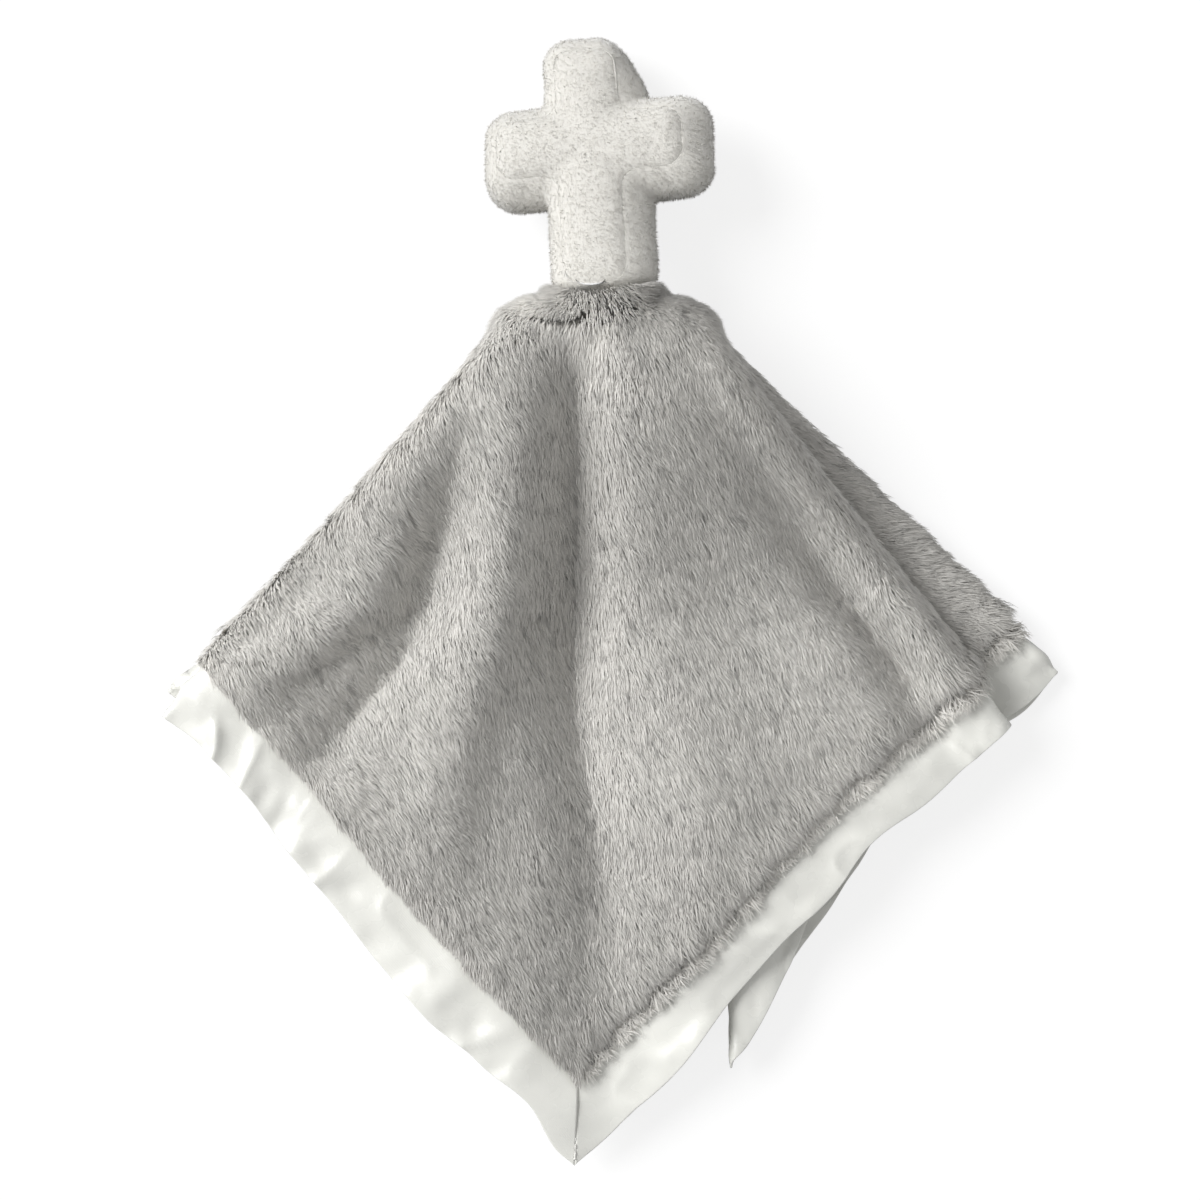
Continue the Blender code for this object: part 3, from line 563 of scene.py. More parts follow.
WHITE_PATCH = WovenFinish("white_patch", (0.75, 0.75, 0.73), 0.85, warp=5000.0, weft=5000.0,
                          depth=0.1 * MM)
GREY_THREAD = ThreadFinish("grey_thread", (0.17, 0.155, 0.14), 0.75)
# Partly painted shade: the seam thread is darker than the velour both for its own dark stitches and to stand
# for the shade in the crease it is sunk in.
SEAM_THREAD_AND_SHADE = ThreadFinish("white_thread", (0.46, 0.43, 0.38), 0.75)
NECK_THREAD = ThreadFinish("white_neck_thread", (0.78, 0.77, 0.74), 0.75)
WHITE_FILL = NappedFinish("white_filling", (0.86, 0.86, 0.85), 1.0, sheen=0.2, grain=900.0,
                          grain_depth=0.8 * MM)


def dress(piece: bpy.types.Object, material: bpy.types.Material, body: str,
          nodes: tuple[str, ...] = ()) -> bpy.types.Object:
    """Give a piece its material, its body and the nodes it stands for.

    Args:
        piece: The finished piece.
        material: Its material.
        body: The body that carries it.
        nodes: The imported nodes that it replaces.

    Returns:
        The piece.
    """
    piece.data.materials.clear()
    piece.data.materials.append(material)
    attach(piece, body)
    if nodes:
        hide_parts(*nodes)
    LOG.info("%s: %d faces on %s", piece.name, len(piece.data.polygons), body)
    return piece


# The folded square


@dataclass(frozen=True)
class Crease:
    """A soft ridge or valley of the front quarter, in mm: down, across and strength along it."""

    height: float
    left: float
    right: float
    line: tuple[tuple[float, float, float], ...]

    def relief(self, across: np.ndarray, down: np.ndarray, widening: float = 1.0) -> np.ndarray:
        """height * strength * exp(-(away / width)^2), with a width for either side.

        Args:
            across: Places across the front, in metres.
            down: Places down it from the shoulder.
            widening: A factor on both widths.

        Returns:
            The height that this crease adds there.
        """
        downs, acrosses, strengths = np.array(self.line).T
        away = across / MM - np.interp(down / MM, downs, acrosses)
        strength = np.interp(down / MM, downs, strengths)
        share = away / (widening * np.where(away < 0.0, self.left, self.right))
        return self.height * MM * strength * np.exp(-share * share)


FRONT_CREASES = (
    Crease(-7.0, 18.0, 18.0, ((60, -4, 0), (130, 0, 0.4), (200, 0, 0.8), (240, -2, 1))),
    Crease(-13.5, 12.0, 8.5, ((4, -8, 0), (16, -7.5, 0.55), (43, -7.5, 1), (81, -8, 1),
                              (100, -8.2, 0.9), (117, -7.5, 0.7), (138, -4, 0.5), (161, 0, 0.25),
                              (190, 2, 0))),
    Crease(8.0, 13.0, 10.0, ((0, -22, 0), (24, -25, 0.6), (58, -27.5, 0.9), (81, -32, 1),
                             (98, -36.5, 0.95), (115, -42, 0.85), (138, -46, 0.6), (165, -48, 0))),
    Crease(8.0, 13.0, 10.0, ((16, -44, 0), (46, -56, 0.6), (81, -70, 0.8), (98, -93, 0.75),
                             (115, -106, 0))),
    Crease(4.0, 10.0, 20.0, ((0, 4, 0), (31, 8, 0.8), (81, 14, 0.8), (136, 27, 0.6), (186, 34, 0))),
    Crease(4.0, 20.0, 10.0, ((20, 20, 0), (40, 28, 0.4), (58, 38, 0.8), (81, 54, 1), (98, 68, 1),
                             (115, 77, 0.8), (132, 84, 0))),
    Crease(5.0, 8.0, 8.0, ((6, 30, 0), (26, 42, 0.4), (58, 65, 0.8), (81, 81, 1), (98, 94, 0.8),
                           (121, 105, 0))),
)
SIDE_VALLEYS = (
    Crease(-5.5, 12.0, 10.0, ((16, -34, 0), (34, -40, 0.5), (60, -44, 1), (81, -50, 0.95),
                              (98, -58.5, 0.9), (115, -73, 0.85), (125, -79, 0.7), (141, -88, 0))),
    Crease(-5.5, 12.0, 8.0, ((12, 17, 0), (24, 27, 0.2), (38, 41, 0.25), (58, 55, 0.7), (81, 71, 1),
                             (98, 85, 1), (115, 92, 0.6), (128, 97, 0))),
)


@dataclass
class FoldedSquare:
    """The blanket's middle surface: a flat square folded down from its middle.

    A place on it is a flat angle, from the front corner round to the right, and a distance from
    the middle. The cloth starts in a dimple under the cross, rolls over a shoulder and runs down
    in the folded direction, while its layers part and sink to the table.
    """

    neck: tuple[float, float, float]
    side: float = 360.0 * MM
    border: float = 18.0 * MM
    tuck: float = 5.0 * MM
    plush_inner: float = 0.6 * MM
    plush_outer: float = 3.9 * MM
    shoulder_half_width: float = 28.5 * MM
    shoulder_front: float = 11.0 * MM
    back_clearance: float = 2.0 * MM
    rounding: float = 6.0 * MM
    spread: float = math.radians(9.0)
    dimple_radius: float = 8.0 * MM
    dimple_sphere: float = 16.02 * MM
    bottom_level: float = 3.4 * MM
    top_level: float = 20.8 * MM
    lining_turn: float = 5.0 * MM
    plush_turn: float = 7.4 * MM
    settle: float = 95.0 * MM
    stack: float = 30.0 * MM
    take_up: float = 0.045
    edge_take_ups: tuple[float, ...] = (0.04, 0.08, 0.08, 0.08, 0.0, 0.0, 0.0, 0.0)
    border_settle: float = 1.6 * MM
    pressed_widening: float = 1.6
    step: float = 0.05 * MM
    fold_flats: tuple[float, ...] = (45.0, 90.0, 135.0, 225.0, 270.0, 315.0)
    fold_plans: tuple[float, ...] = (39.0, 1.5, 47.0, -43.5, 2.0, -43.0)
    fold_reach: float = math.radians(9.0)
    fold_crowding: float = 1.7
    row_crowding: float = 1.15

    def __post_init__(self) -> None:
        """Work out each fold's drop and the slopes between folds."""
        self.flats, self.plans = np.radians(self.fold_flats), np.radians(self.fold_plans)
        self.drops = np.array((-self.lining_turn, -self.plush_turn, -self.lining_turn,
                               self.lining_turn, self.plush_turn, self.lining_turn))
        spans = np.diff(np.append(self.flats, self.flats[0] + TURN))
        self.after = np.diff(np.append(self.plans, self.plans[0])) / spans
        self.before = np.roll(self.after, 1)
        self.slopes = 0.5 * (np.abs(self.after) + np.abs(self.before))

    def edge(self, flat: np.ndarray) -> np.ndarray:
        """Distance to the square's outer edge: half the side over cos(angle off the side's middle)."""
        return 0.5 * self.side / np.cos(np.mod(flat, TURN / 4.0) - TURN / 8.0)

    def plush_edge(self, flat: np.ndarray) -> np.ndarray:
        """Distance from the middle to where the plush ends."""
        return (0.5 * self.side - self.border) / np.cos(np.mod(flat, TURN / 4.0) - TURN / 8.0)

    def folded(self, flat: np.ndarray, reach: np.ndarray) -> tuple[np.ndarray, np.ndarray]:
        """Plan angle and level of the folded layers.

        The plan angle changes slope at each fold by a rounded ramp w/2 * log(1 + exp(2t/w)), and
        the level drops there by a rounded step (1 + tanh(t/w)) / 2.

        Args:
            flat: Flat angles.
            reach: How far down each place is.

        Returns:
            The direction that each place is folded to, and its layer's height.
        """
        plan = self.plans[-1] + self.after[-1] * (flat + 2.0 * TURN - self.flats[-1])
        level = np.full_like(plan, self.top_level)
        for lap in (-1, 0, 1):
            for fold, drop in enumerate(self.drops):
                turned = flat - (self.flats[fold] + lap * TURN)
                width = 0.5 * abs(drop) / (reach * self.slopes[fold])
                bend = self.after[fold] - self.before[fold]
                plan = plan + bend * 0.5 * width * np.logaddexp(0.0, 2.0 * turned / width)
                level = level + drop * 0.5 * (1.0 + np.tanh(turned / width))
        return plan, level

    def middle(self, flat: np.ndarray, gone: np.ndarray) -> np.ndarray:
        """Where the middle surface lies.

        The distance gone is parted by a rounded step into a way outwards, to the shoulder's rim,
        and a way fallen after it, shortened a little at the sides and in the middle of each eighth
        of the round. The way outwards starts on a sphere about the pivot, and the way fallen runs
        in its folded direction. The height settles by a smooth step, the layers part by
        1 - exp(-f), and the creases are added to the front and pressed into the layers below it.

        Args:
            flat: Flat angles.
            gone: Distances from the square's middle.

        Returns:
            Points in the row frame.
        """
        lift = self.neck[2]
        rim_angle = flat + self.spread * np.sin(2.0 * flat)
        rim_back = lift - self.plush_outer - self.back_clearance
        rim_height = np.where(np.cos(rim_angle) > 0.0, self.shoulder_front, rim_back) * np.cos(rim_angle)
        rim_side = self.shoulder_half_width * np.sin(rim_angle)
        rim = np.hypot(rim_side, rim_height)
        over = gone - rim
        bend = np.hypot(over, self.rounding)
        at_middle = (np.hypot(rim, self.rounding) - rim) * np.clip(1.0 - gone / rim, 0.0, 1.0)
        outward = rim - 0.5 * (bend - over) + 0.5 * at_middle
        fallen = (0.5 * (bend + over) - 0.5 * at_middle) * (1.0 - self.take_up * np.sin(flat) ** 2)
        half_side = np.floor(np.mod(flat, TURN) / (TURN / 8.0)).astype(int) % 8
        reached = (gone / self.edge(flat)) ** 2
        fallen = fallen * (1.0 - np.array(self.edge_take_ups)[half_side] * np.sin(4.0 * flat) ** 2 * reached)
        dimple = np.minimum(np.abs(outward), self.dimple_radius)
        shoulder = -np.sqrt(self.dimple_sphere ** 2 - dimple ** 2)
        plan, level = self.folded(flat, fallen + 2.0 * self.rounding)
        across = outward * rim_side / rim + fallen * np.sin(plan)
        down = fallen * np.cos(plan)
        settled = smooth_step(fallen / self.settle)
        stacked = 1.0 - np.exp(-fallen / self.stack)
        raised = lift + outward * rim_height / rim
        height = raised + (self.bottom_level - raised) * settled + (level - self.bottom_level) * stacked
        on_front = np.clip((level - self.top_level + self.lining_turn) / self.lining_turn, 0.0, 1.0)
        relief = sum(crease.relief(across, down) for crease in FRONT_CREASES + SIDE_VALLEYS)
        pressed = sum(valley.relief(across, down, self.pressed_widening) for valley in SIDE_VALLEYS)
        up_the_stack = (level - self.bottom_level) / (self.top_level - self.bottom_level)
        height = height + on_front * relief + (1.0 - on_front) * up_the_stack * pressed
        height = height - self.border_settle * smooth_step((gone - self.plush_edge(flat)) / self.border)
        along = self.neck[1] + shoulder - down
        return np.stack((across + self.neck[0], along, height), axis=-1)

    def tangents(self, flat: np.ndarray, gone: np.ndarray) -> tuple[np.ndarray, ...]:
        """Places and directions on the surface, by differences over a small step.

        Args:
            flat: Flat angles.
            gone: Distances from the middle.

        Returns:
            Points, unit vectors outwards and round, and the normal of the plush side.
        """
        turn = self.step / self.shoulder_half_width
        out = self.middle(flat, gone + self.step) - self.middle(flat, np.maximum(gone - self.step, 0.0))
        around = self.middle(flat + turn, gone) - self.middle(flat - turn, gone)
        normal = unit(np.cross(out, around))
        pole = (gone < self.step)[..., None]
        normal = np.where(pole, (0.0, 1.0, 0.0), normal)
        return self.middle(flat, gone), unit(out), unit(around), normal

    def cloth(self, flat: np.ndarray, gone: np.ndarray, offset: np.ndarray) -> np.ndarray:
        """Points at an offset from the middle surface, and never below the table.

        Args:
            flat: Flat angles.
            gone: Distances from the middle.
            offset: How far off the middle surface, towards the plush side.

        Returns:
            The points.
        """
        point, _, _, normal = self.tangents(flat, gone)
        point = point + normal * np.broadcast_to(offset, gone.shape)[..., None]
        point[..., 2] = np.maximum(point[..., 2], 0.0)
        return point

    def columns(self, between: int, at_fold: int) -> np.ndarray:
        """Flat angles round the square, closer together at the folds.

        Args:
            between: Even columns round the whole square.
            at_fold: More columns on either side of each fold.

        Returns:
            The sorted angles.
        """
        even = np.linspace(0.0, TURN, between, endpoint=False)
        near = np.linspace(-1.0, 1.0, 2 * at_fold + 1)
        near = self.fold_reach * np.sign(near) * np.abs(near) ** self.fold_crowding
        folds = self.flats[:, None] + near
        return np.unique(np.round(np.concatenate((even, folds.ravel())), 5))

    def sheet(self, name: str, outer: float, inner: float, rows: int, between: int,
              at_fold: int) -> bpy.types.Object:
        """A closed cloth between two offsets from the middle surface, out to the plush's edge.

        Args:
            name: The piece's name.
            outer: Offset of the side that faces out.
            inner: Offset of the other side.
            rows: Rows from the middle to the edge.
            between: Even columns.
            at_fold: More columns at each fold.

        Returns:
            The cloth, with its flat place on the map in metres.
        """
        flat = self.columns(between, at_fold)
        share = np.linspace(0.0, 1.0, rows)[:, None] ** self.row_crowding
        return self.shell(name, flat, share * self.plush_edge(flat)[None], outer, inner)

    def shell(self, name: str, flat: np.ndarray, gone: np.ndarray, outer: float,
              inner: float) -> bpy.types.Object:
        """A closed cloth between two offsets from the middle surface, over any grid of places.

        Args:
            name: The piece's name.
            flat: Flat angles of the grid's columns.
            gone: Distances from the middle, by rows and columns.
            outer: Offset of the side that faces out.
            inner: Offset of the other side.

        Returns:
            The cloth, with its flat place on the map in metres.
        """
        flat = np.broadcast_to(flat[None], gone.shape)
        points = np.stack((self.cloth(flat, gone, outer), self.cloth(flat, gone, inner)))
        places = np.stack((gone * np.sin(flat), -gone * np.cos(flat)), axis=-1)
        quads, triangles = shell_faces(*gone.shape)
        return new_piece(name, points, quads, triangles, np.stack((places, places)))


# The blanket


@dataclass(frozen=True)
class PileZone:
    """A stretch that pile is grown on: flat angles, how dense, and how far from the middle."""

    name: str
    first: float
    last: float
    share: float
    reach: float = 1.0


@dataclass
class Strands:
    """The strands of one zone: where they are rooted, and the shares that say how they lie.

    Shares run from 0 to 1. Rolled is beside the leg, upward on the shoulders, at_left on slopes
    that face left, near_edge beside the satin and fringe past its stitches. Parted is 0 along the
    left front side, where the pile laps over the satin, and 1 elsewhere.
    """

    square: FoldedSquare
    flat: np.ndarray
    gone: np.ndarray
    inside: np.ndarray
    leg_half_width: float = 15.0 * MM
    leg_half_depth: float = 10.0 * MM
    roll_back: float = 0.3

    def __post_init__(self) -> None:
        """Find the cloth's directions at each root, and then the shares."""
        self.count = len(self.flat)
        self.point, self.out, around, self.normal = self.square.tangents(self.flat, self.gone)
        self.under = self.normal[:, 2] < 0.0
        self.degrees = np.degrees(self.flat)
        self.beyond = self.square.tuck - self.inside
        self.off_side = np.mod(self.flat, TURN / 4.0) - TURN / 8.0
        self.place = self.gone * np.sin(self.off_side)
        across, along = np.cos(self.off_side)[:, None], np.sin(self.off_side)[:, None]
        self.outward = across * self.out - along * around
        self.beside = along * self.out + across * around
        self.at_neck()
        self.at_edge()

    def at_neck(self) -> None:
        """Shares by the leg and on the shoulders, by smooth steps of place and slope."""
        away = self.gone / MM
        from_leg = (self.point - np.array(self.square.neck)) * (1.0, 0.0, 1.0)
        off_leg = np.hypot(from_leg[:, 0] / self.leg_half_width, from_leg[:, 2] / self.leg_half_depth)
        self.rolled = fall(off_leg, 1.1, 0.6) * fall(away, 11.0, 5.0)
        self.up_leg = unit(np.array((0.0, 1.0, 0.0)) + self.roll_back * unit(from_leg))
        self.in_front = np.exp(-(from_leg[:, 0] / (9.0 * MM)) ** 2) * (from_leg[:, 2] > 0.0)
        self.upward = rise(self.normal[:, 1], 0.25, 0.5) * fall(away, 20.0, 20.0) * (1.0 - self.rolled)
        self.at_left = rise(-self.normal[:, 0], 0.35, 0.4) * (1.0 - self.upward)

    def at_edge(self) -> None:
        """Shares beside the satin, and how ragged the edge is."""
        past = self.beyond / MM
        off_left_front = np.abs(self.degrees - Side.LEFT_FRONT.value + 360.0)
        self.parted = np.where(off_left_front < 45.0, 0.0, 1.0)
        self.fringe = smooth_step(past / 1.5) * (0.35 + 0.65 * self.parted)
        self.near_edge = smooth_step((past + 11.0) / 6.0)
        self.ragged = patchy(self.place, self.gone, 3.0 * MM, 16)

    def patches(self, size: float, seed: int) -> np.ndarray:
        """A random field over the roots as seen from above."""
        return patchy(self.point[:, 0], self.point[:, 1], size, seed)


@dataclass
class PlushPile:
    """The long pile: thin tapering strands that lean with the nap."""

    square: FoldedSquare
    per_area: float = 9.4e6
    length: float = 5.4 * MM
    width: float = 0.32 * MM
    root_lift: float = math.radians(38.0)
    root_lift_spread: float = math.radians(7.0)
    tip_lift: float = math.radians(9.0)
    tip_lift_spread: float = math.radians(6.0)
    root_offset: float = 1.7 * MM
    bare_middle: float = 6.0 * MM
    tuft: float = 3.4 * MM
    most_pull: float = 0.6
    fringe_length: float = 6.2 * MM
    fringe_ragged: float = 2.4 * MM
    fringe_least: float = 1.2 * MM
    lap_past: float = 1.6 * MM
    lap_ragged: float = 1.2 * MM
    lap_least: float = 1.5 * MM
    lowest: float = 0.15 * MM
    usual_slant: float = math.radians(24.0)
    mean_tone: float = 0.66
    zones: tuple[PileZone, ...] = (
        PileZone("pile_neck", -54.0, 306.0, 1.0, 26.0 * MM),
        PileZone("pile_neck_again", -54.0, 306.0, 1.0, 22.0 * MM),
        PileZone("pile_front_left", -54.0, -34.0, 1.0),
        PileZone("pile_front_mid_left", -34.0, -16.0, 1.0),
        PileZone("pile_front_middle_left", -16.0, 0.0, 1.0),
        PileZone("pile_front_middle_right", 0.0, 16.0, 1.0),
        PileZone("pile_front_mid_right", 16.0, 34.0, 1.0),
        PileZone("pile_front_right", 34.0, 54.0, 1.0),
        PileZone("pile_right_tongue", 54.0, 112.0, 0.1),
        PileZone("pile_right_side", 112.0, 152.0, 0.65),
        PileZone("pile_underside", 152.0, 210.0, 0.1),
        PileZone("pile_left_side", 210.0, 240.0, 0.4),
        PileZone("pile_left_tongue", 240.0, 306.0, 0.1),
    )

    def sow(self, zone: PileZone, rng: np.random.Generator) -> Strands:
        """Random roots in a zone, evenly over the flat square, thinned away from the neck.

        Args:
            zone: Where.
            rng: The seeded source of chance.

        Returns:
            The zone's strands, rooted.
        """
        half = 0.5 * self.square.side - self.square.border
        count = int(self.per_area * 4.0 * half * half)
        first, second = rng.uniform(-half, half, (2, count))
        flat = np.mod(np.arctan2(first - second, first + second) + TURN / 4.0, TURN) - TURN / 4.0
        degrees = np.degrees(flat)
        inside = np.zeros(count, bool)
        for lap in (0.0, 360.0):
            inside |= (degrees + lap >= zone.first) & (degrees + lap < zone.last)
        gone = np.hypot(first, second)
        share = zone.share + (1.0 - zone.share) * fall(gone / MM, 30.0, 30.0)
        kept = inside & (rng.random(count) < share) & (gone > self.bare_middle) & (gone < zone.reach)
        return Strands(self.square, flat[kept], gone[kept],
                       half - np.maximum(np.abs(first), np.abs(second))[kept])

    def nap(self, strands: Strands) -> np.ndarray:
        """Directions that the pile is combed in, along the cloth.

        Down the front it leans to the right of straight down by 20 degrees, by up to 40 towards
        the left and 34 towards the right, and by 44 more on the right tongue. Two random fields
        turn it by up to 13 and 12 degrees. At the neck it runs outwards.

        Args:
            strands: The rooted strands.

        Returns:
            Unit vectors along the cloth.
        """
        across = (strands.point[:, 0] - self.square.neck[0]) / MM
        lean = np.radians(20.0 + 20.0 * smooth_step(-across / 90.0) + 14.0 * smooth_step(across / 90.0))
        tongue = rise(strands.degrees, 60.0, 20.0) * smooth_step((160.0 - strands.degrees) / 15.0)
        lean = lean + tongue * math.radians(44.0)
        lean = lean + np.radians(13.0) * strands.patches(9.0 * MM, 3)
        lean = lean + np.radians(12.0) * strands.patches(3.2 * MM, 4)
        combed = np.stack((np.sin(lean), -np.cos(lean), np.zeros_like(lean)), axis=-1)
        near_neck = fall(strands.gone / MM, 14.0, 26.0)[:, None]
        combed = combed * (1.0 - 0.5 * near_neck) + 0.6 * strands.out * near_neck
        return unit(combed - strands.normal * (combed * strands.normal).sum(axis=-1, keepdims=True))

    def lay(self, strands: Strands, rng: np.random.Generator) -> None:
        """Give strands their length, their lifts and the way they lean.

        The length is a random share of the usual one, longer by the leg and beside the satin. A
        lift is the angle to the cloth, at the root and at the tip. Beside the satin the nap turns
        outwards and is pulled to the middle of the nearest tuft.

        Args:
            strands: The rooted strands.
            rng: The seeded source of chance.
        """
        at_edge = strands.near_edge * strands.parted
        length = self.length * (0.8 + 0.35 * rng.random(strands.count))
        length *= 1.0 + 0.18 * strands.patches(5.0 * MM, 7)
        root_lift = self.root_lift + self.root_lift_spread * rng.standard_normal(strands.count)
        root_lift += self.root_lift_spread * strands.patches(2.6 * MM, 8)
        tip_lift = self.tip_lift + self.tip_lift_spread * rng.standard_normal(strands.count)
        length *= 1.0 + (0.7 + 0.3 * strands.in_front) * strands.rolled
        length *= 1.0 - 0.5 * smooth_step((10.0 - strands.gone / MM) / 2.0)
        length *= (1.0 + 0.15 * strands.upward) * (1.0 + 0.6 * at_edge)
        root_lift += math.radians(24.0) * strands.upward
        tip_lift += math.radians(8.0) * strands.upward
        root_lift *= (1.0 - 0.4 * strands.at_left) * (1.0 - 0.4 * strands.fringe)
        tip_lift = tip_lift * (1.0 - strands.fringe) - math.radians(5.0) * strands.fringe
        tufts = strands.place / self.tuft + 0.7 * patchy(strands.place, strands.gone, 7.0 * MM, 15)
        off_tuft = self.tuft * np.round(tufts) - strands.place
        strands.pull = np.clip(off_tuft / length, -self.most_pull, self.most_pull) * at_edge
        turned = 0.9 * strands.fringe + 0.45 * at_edge
        strands.lean = unit(self.nap(strands) + strands.outward * turned[:, None]
                            + strands.beside * (0.9 * strands.pull)[:, None])
        strands.length, strands.root_lift, strands.tip_lift = length, root_lift, tip_lift

    def trim(self, strands: Strands, rng: np.random.Generator) -> None:
        """Cut strands to fit the satin, and choose which are kept.

        Before the stitches a strand ends at a ragged line, past them it is a loose fringe, and
        along the left front side it laps a little way over the satin.

        Args:
            strands: The strands, laid.
            rng: The seeded source of chance.
        """
        length, beyond, apart = strands.length, strands.beyond, strands.parted > 0.5
        ahead = (strands.lean * strands.outward).sum(axis=-1)
        uneven = 1.2 + 1.6 * patchy(strands.gone * strands.off_side, strands.gone, 2.4 * MM, 9)
        before = -beyond / MM
        room = (before + uneven) * MM / (0.72 * np.maximum(ahead, 0.15))
        shorten = (before > 0.0) & (before < 8.0) & apart
        length = np.where(shorten, np.clip(room, 0.35 * length, length), length)
        loose = self.fringe_length + self.fringe_ragged * strands.ragged - 0.6 * beyond
        loose = loose * (0.55 + 0.75 * rng.random(strands.count))
        length = np.where((beyond > 0.0) & apart, np.clip(loose, self.fringe_least, 1.4 * length), length)
        lapping = self.square.tuck + self.lap_past + self.lap_ragged * strands.ragged - beyond
        lapping = lapping / np.maximum(0.85 * ahead, 0.2)
        length = np.where(apart, length, np.clip(lapping, self.lap_least, length))
        kept = (np.abs(beyond / MM) > 0.55) | ~apart
        strands.kept = kept & ((beyond < 0.0) | ~apart | (rng.random(strands.count) < 0.5))
        strands.length = np.where(strands.under, 0.8 * length, length)
        strands.root_lift = np.where(strands.under, 0.6 * strands.root_lift, strands.root_lift)

    def blades(self, strands: Strands, rng: np.random.Generator) -> tuple[np.ndarray, np.ndarray]:
        """Points and normals of the strands, five for each.

        A strand is a flat strip in two stages: from its root it rises by its root's lift, and
        from the bend it goes on by its tip's to a point. The normals are the cloth's, tilted a
        little at random, along the strand and by the strand's own round.

        Args:
            strands: The strands, laid and trimmed.
            rng: The seeded source of chance.

        Returns:
            The points, and the normals.
        """
        normal, rolled, count = strands.normal, strands.rolled[:, None], strands.count
        at_edge = strands.near_edge * strands.parted
        astray = (0.16 + 0.3 * strands.fringe * strands.parted + 0.12 * at_edge) * rng.standard_normal(count)
        sway = unit(strands.lean + astray[:, None] * np.cross(normal, strands.lean))
        shade = unit(np.where(strands.under[:, None], normal * (1.0, 1.0, 0.3), normal))
        side = unit(np.cross(sway, unit(shade + np.array((0.0, 0.0, 0.6)) * ~strands.under[:, None])))
        width = self.width * (0.75 + 0.5 * rng.random(count)) * (1.0 - 0.35 * strands.rolled)
        half = 0.5 * width[:, None] * side
        offset = self.root_offset * np.where(strands.inside > 3.0 * MM, 1.0, 0.9)
        root = strands.point + normal * offset[:, None]
        steep, shallow = (np.cos(lift)[:, None] * sway + np.sin(lift)[:, None] * normal
                          for lift in (strands.root_lift, strands.tip_lift))
        first = 0.5 + 0.12 * rolled
        bent = root + first * strands.length[:, None] * unit(steep + 3.0 * rolled * strands.up_leg)
        strands.tip = bent + (1.0 - first) * strands.length[:, None] * shallow
        points = np.stack((root - half, root + half, bent - half, bent + half, strands.tip), axis=1)
        points[..., 2] = np.maximum(points[..., 2], self.lowest)
        tilt = shade + 0.09 * side * rng.standard_normal(count)[:, None]
        tilt += 0.2 * sway * rng.random(count)[:, None]
        left, right = tilt - 0.25 * side, tilt + 0.25 * side
        return points, unit(np.stack((left, right, left, right, tilt + 0.3 * sway), axis=1))

    def tone(self, strands: Strands, rng: np.random.Generator) -> np.ndarray:
        """How light each strand is, from 0 to 1.

        The mean, with chance added, is darker low on the blanket and lighter in the fringe. Painted
        shade darkens it in the pile's partings, in the two puckers below the leg, between tufts and on
        the lower layers, which lie under the front one.

        Args:
            strands: The strands, with their tips.
            rng: The seeded source of chance.

        Returns:
            A tone for each strand.
        """
        x, y = ((strands.point - np.array(self.square.neck)) / MM)[:, :2].T
        # Painted shade: the strands in the two puckers below the leg are darkened.
        gather_shade = sum(np.exp(-((x - at) / 3.0) ** 2 - ((y + 22.0) / 11.0) ** 2) for at in (-12.0, 6.8))
        turn_x, turn_y = math.cos(self.usual_slant), math.sin(self.usual_slant)
        across = turn_x * strands.tip[:, 0] + turn_y * strands.tip[:, 1]
        down = turn_x * strands.tip[:, 1] - turn_y * strands.tip[:, 0]
        # Painted shade: a streaky random field marks the pile's partings, and the strands there are darkened
        # below.
        parting_shade = patchy(3.6 * across, down, 2.6 * MM, 17) + 0.5 * patchy(3.0 * across, down, 5.5 * MM, 18)
        low = smooth_step((self.square.neck[1] - strands.point[:, 1] - 0.13) / 0.06)
        tone = self.mean_tone + 0.09 * rng.standard_normal(strands.count) - 0.56 * rise(parting_shade, 0.40, 0.7)
        # Painted shade between tufts: a strand is darker the further it is pulled to its tuft's middle.
        tone -= 0.3 * gather_shade + 0.17 * low + 0.7 * np.abs(strands.pull)
        # Painted shade: strands on the layers below the front one are darker.
        tone -= 0.14 * (np.abs(strands.degrees) > 50.0)
        tone += 0.34 * strands.fringe * strands.parted
        tone += 0.10 * strands.patches(2.0 * MM, 12) + 0.07 * strands.patches(14.0 * MM, 13)
        return np.clip(tone, 0.02, 0.98)

    def grow(self, zone: PileZone, material: bpy.types.Material, seed: int) -> bpy.types.Object:
        """The strands of one zone as one piece: each is a quad, and a triangle to its tip.

        Args:
            zone: Where the strands grow.
            material: The strands' material.
            seed: Which chance.

        Returns:
            The piece, with tone and root to tip on its map.
        """
        rng = np.random.default_rng(seed)
        strands = self.sow(zone, rng)
        self.lay(strands, rng)
        self.trim(strands, rng)
        points, facing = (values[strands.kept] for values in self.blades(strands, rng))
        tone = self.tone(strands, rng)[strands.kept]
        across = tone[:, None] + np.array((-0.01, 0.01, -0.01, 0.01, 0.0))
        along = np.broadcast_to(np.array((0.0, 0.0, 0.5, 0.5, 1.0)), across.shape)
        start = 5 * np.arange(len(points))[:, None]
        quads, triangles = start + np.array((0, 1, 3, 2)), start + np.array((2, 3, 4))
        piece = new_piece(zone.name, points, quads, triangles, np.stack((across, along), axis=-1),
                          BAKE_MAP)
        piece.data.normals_split_custom_set_from_vertices(facing.reshape(-1, 3))
        return dress(piece, material, "blanket")


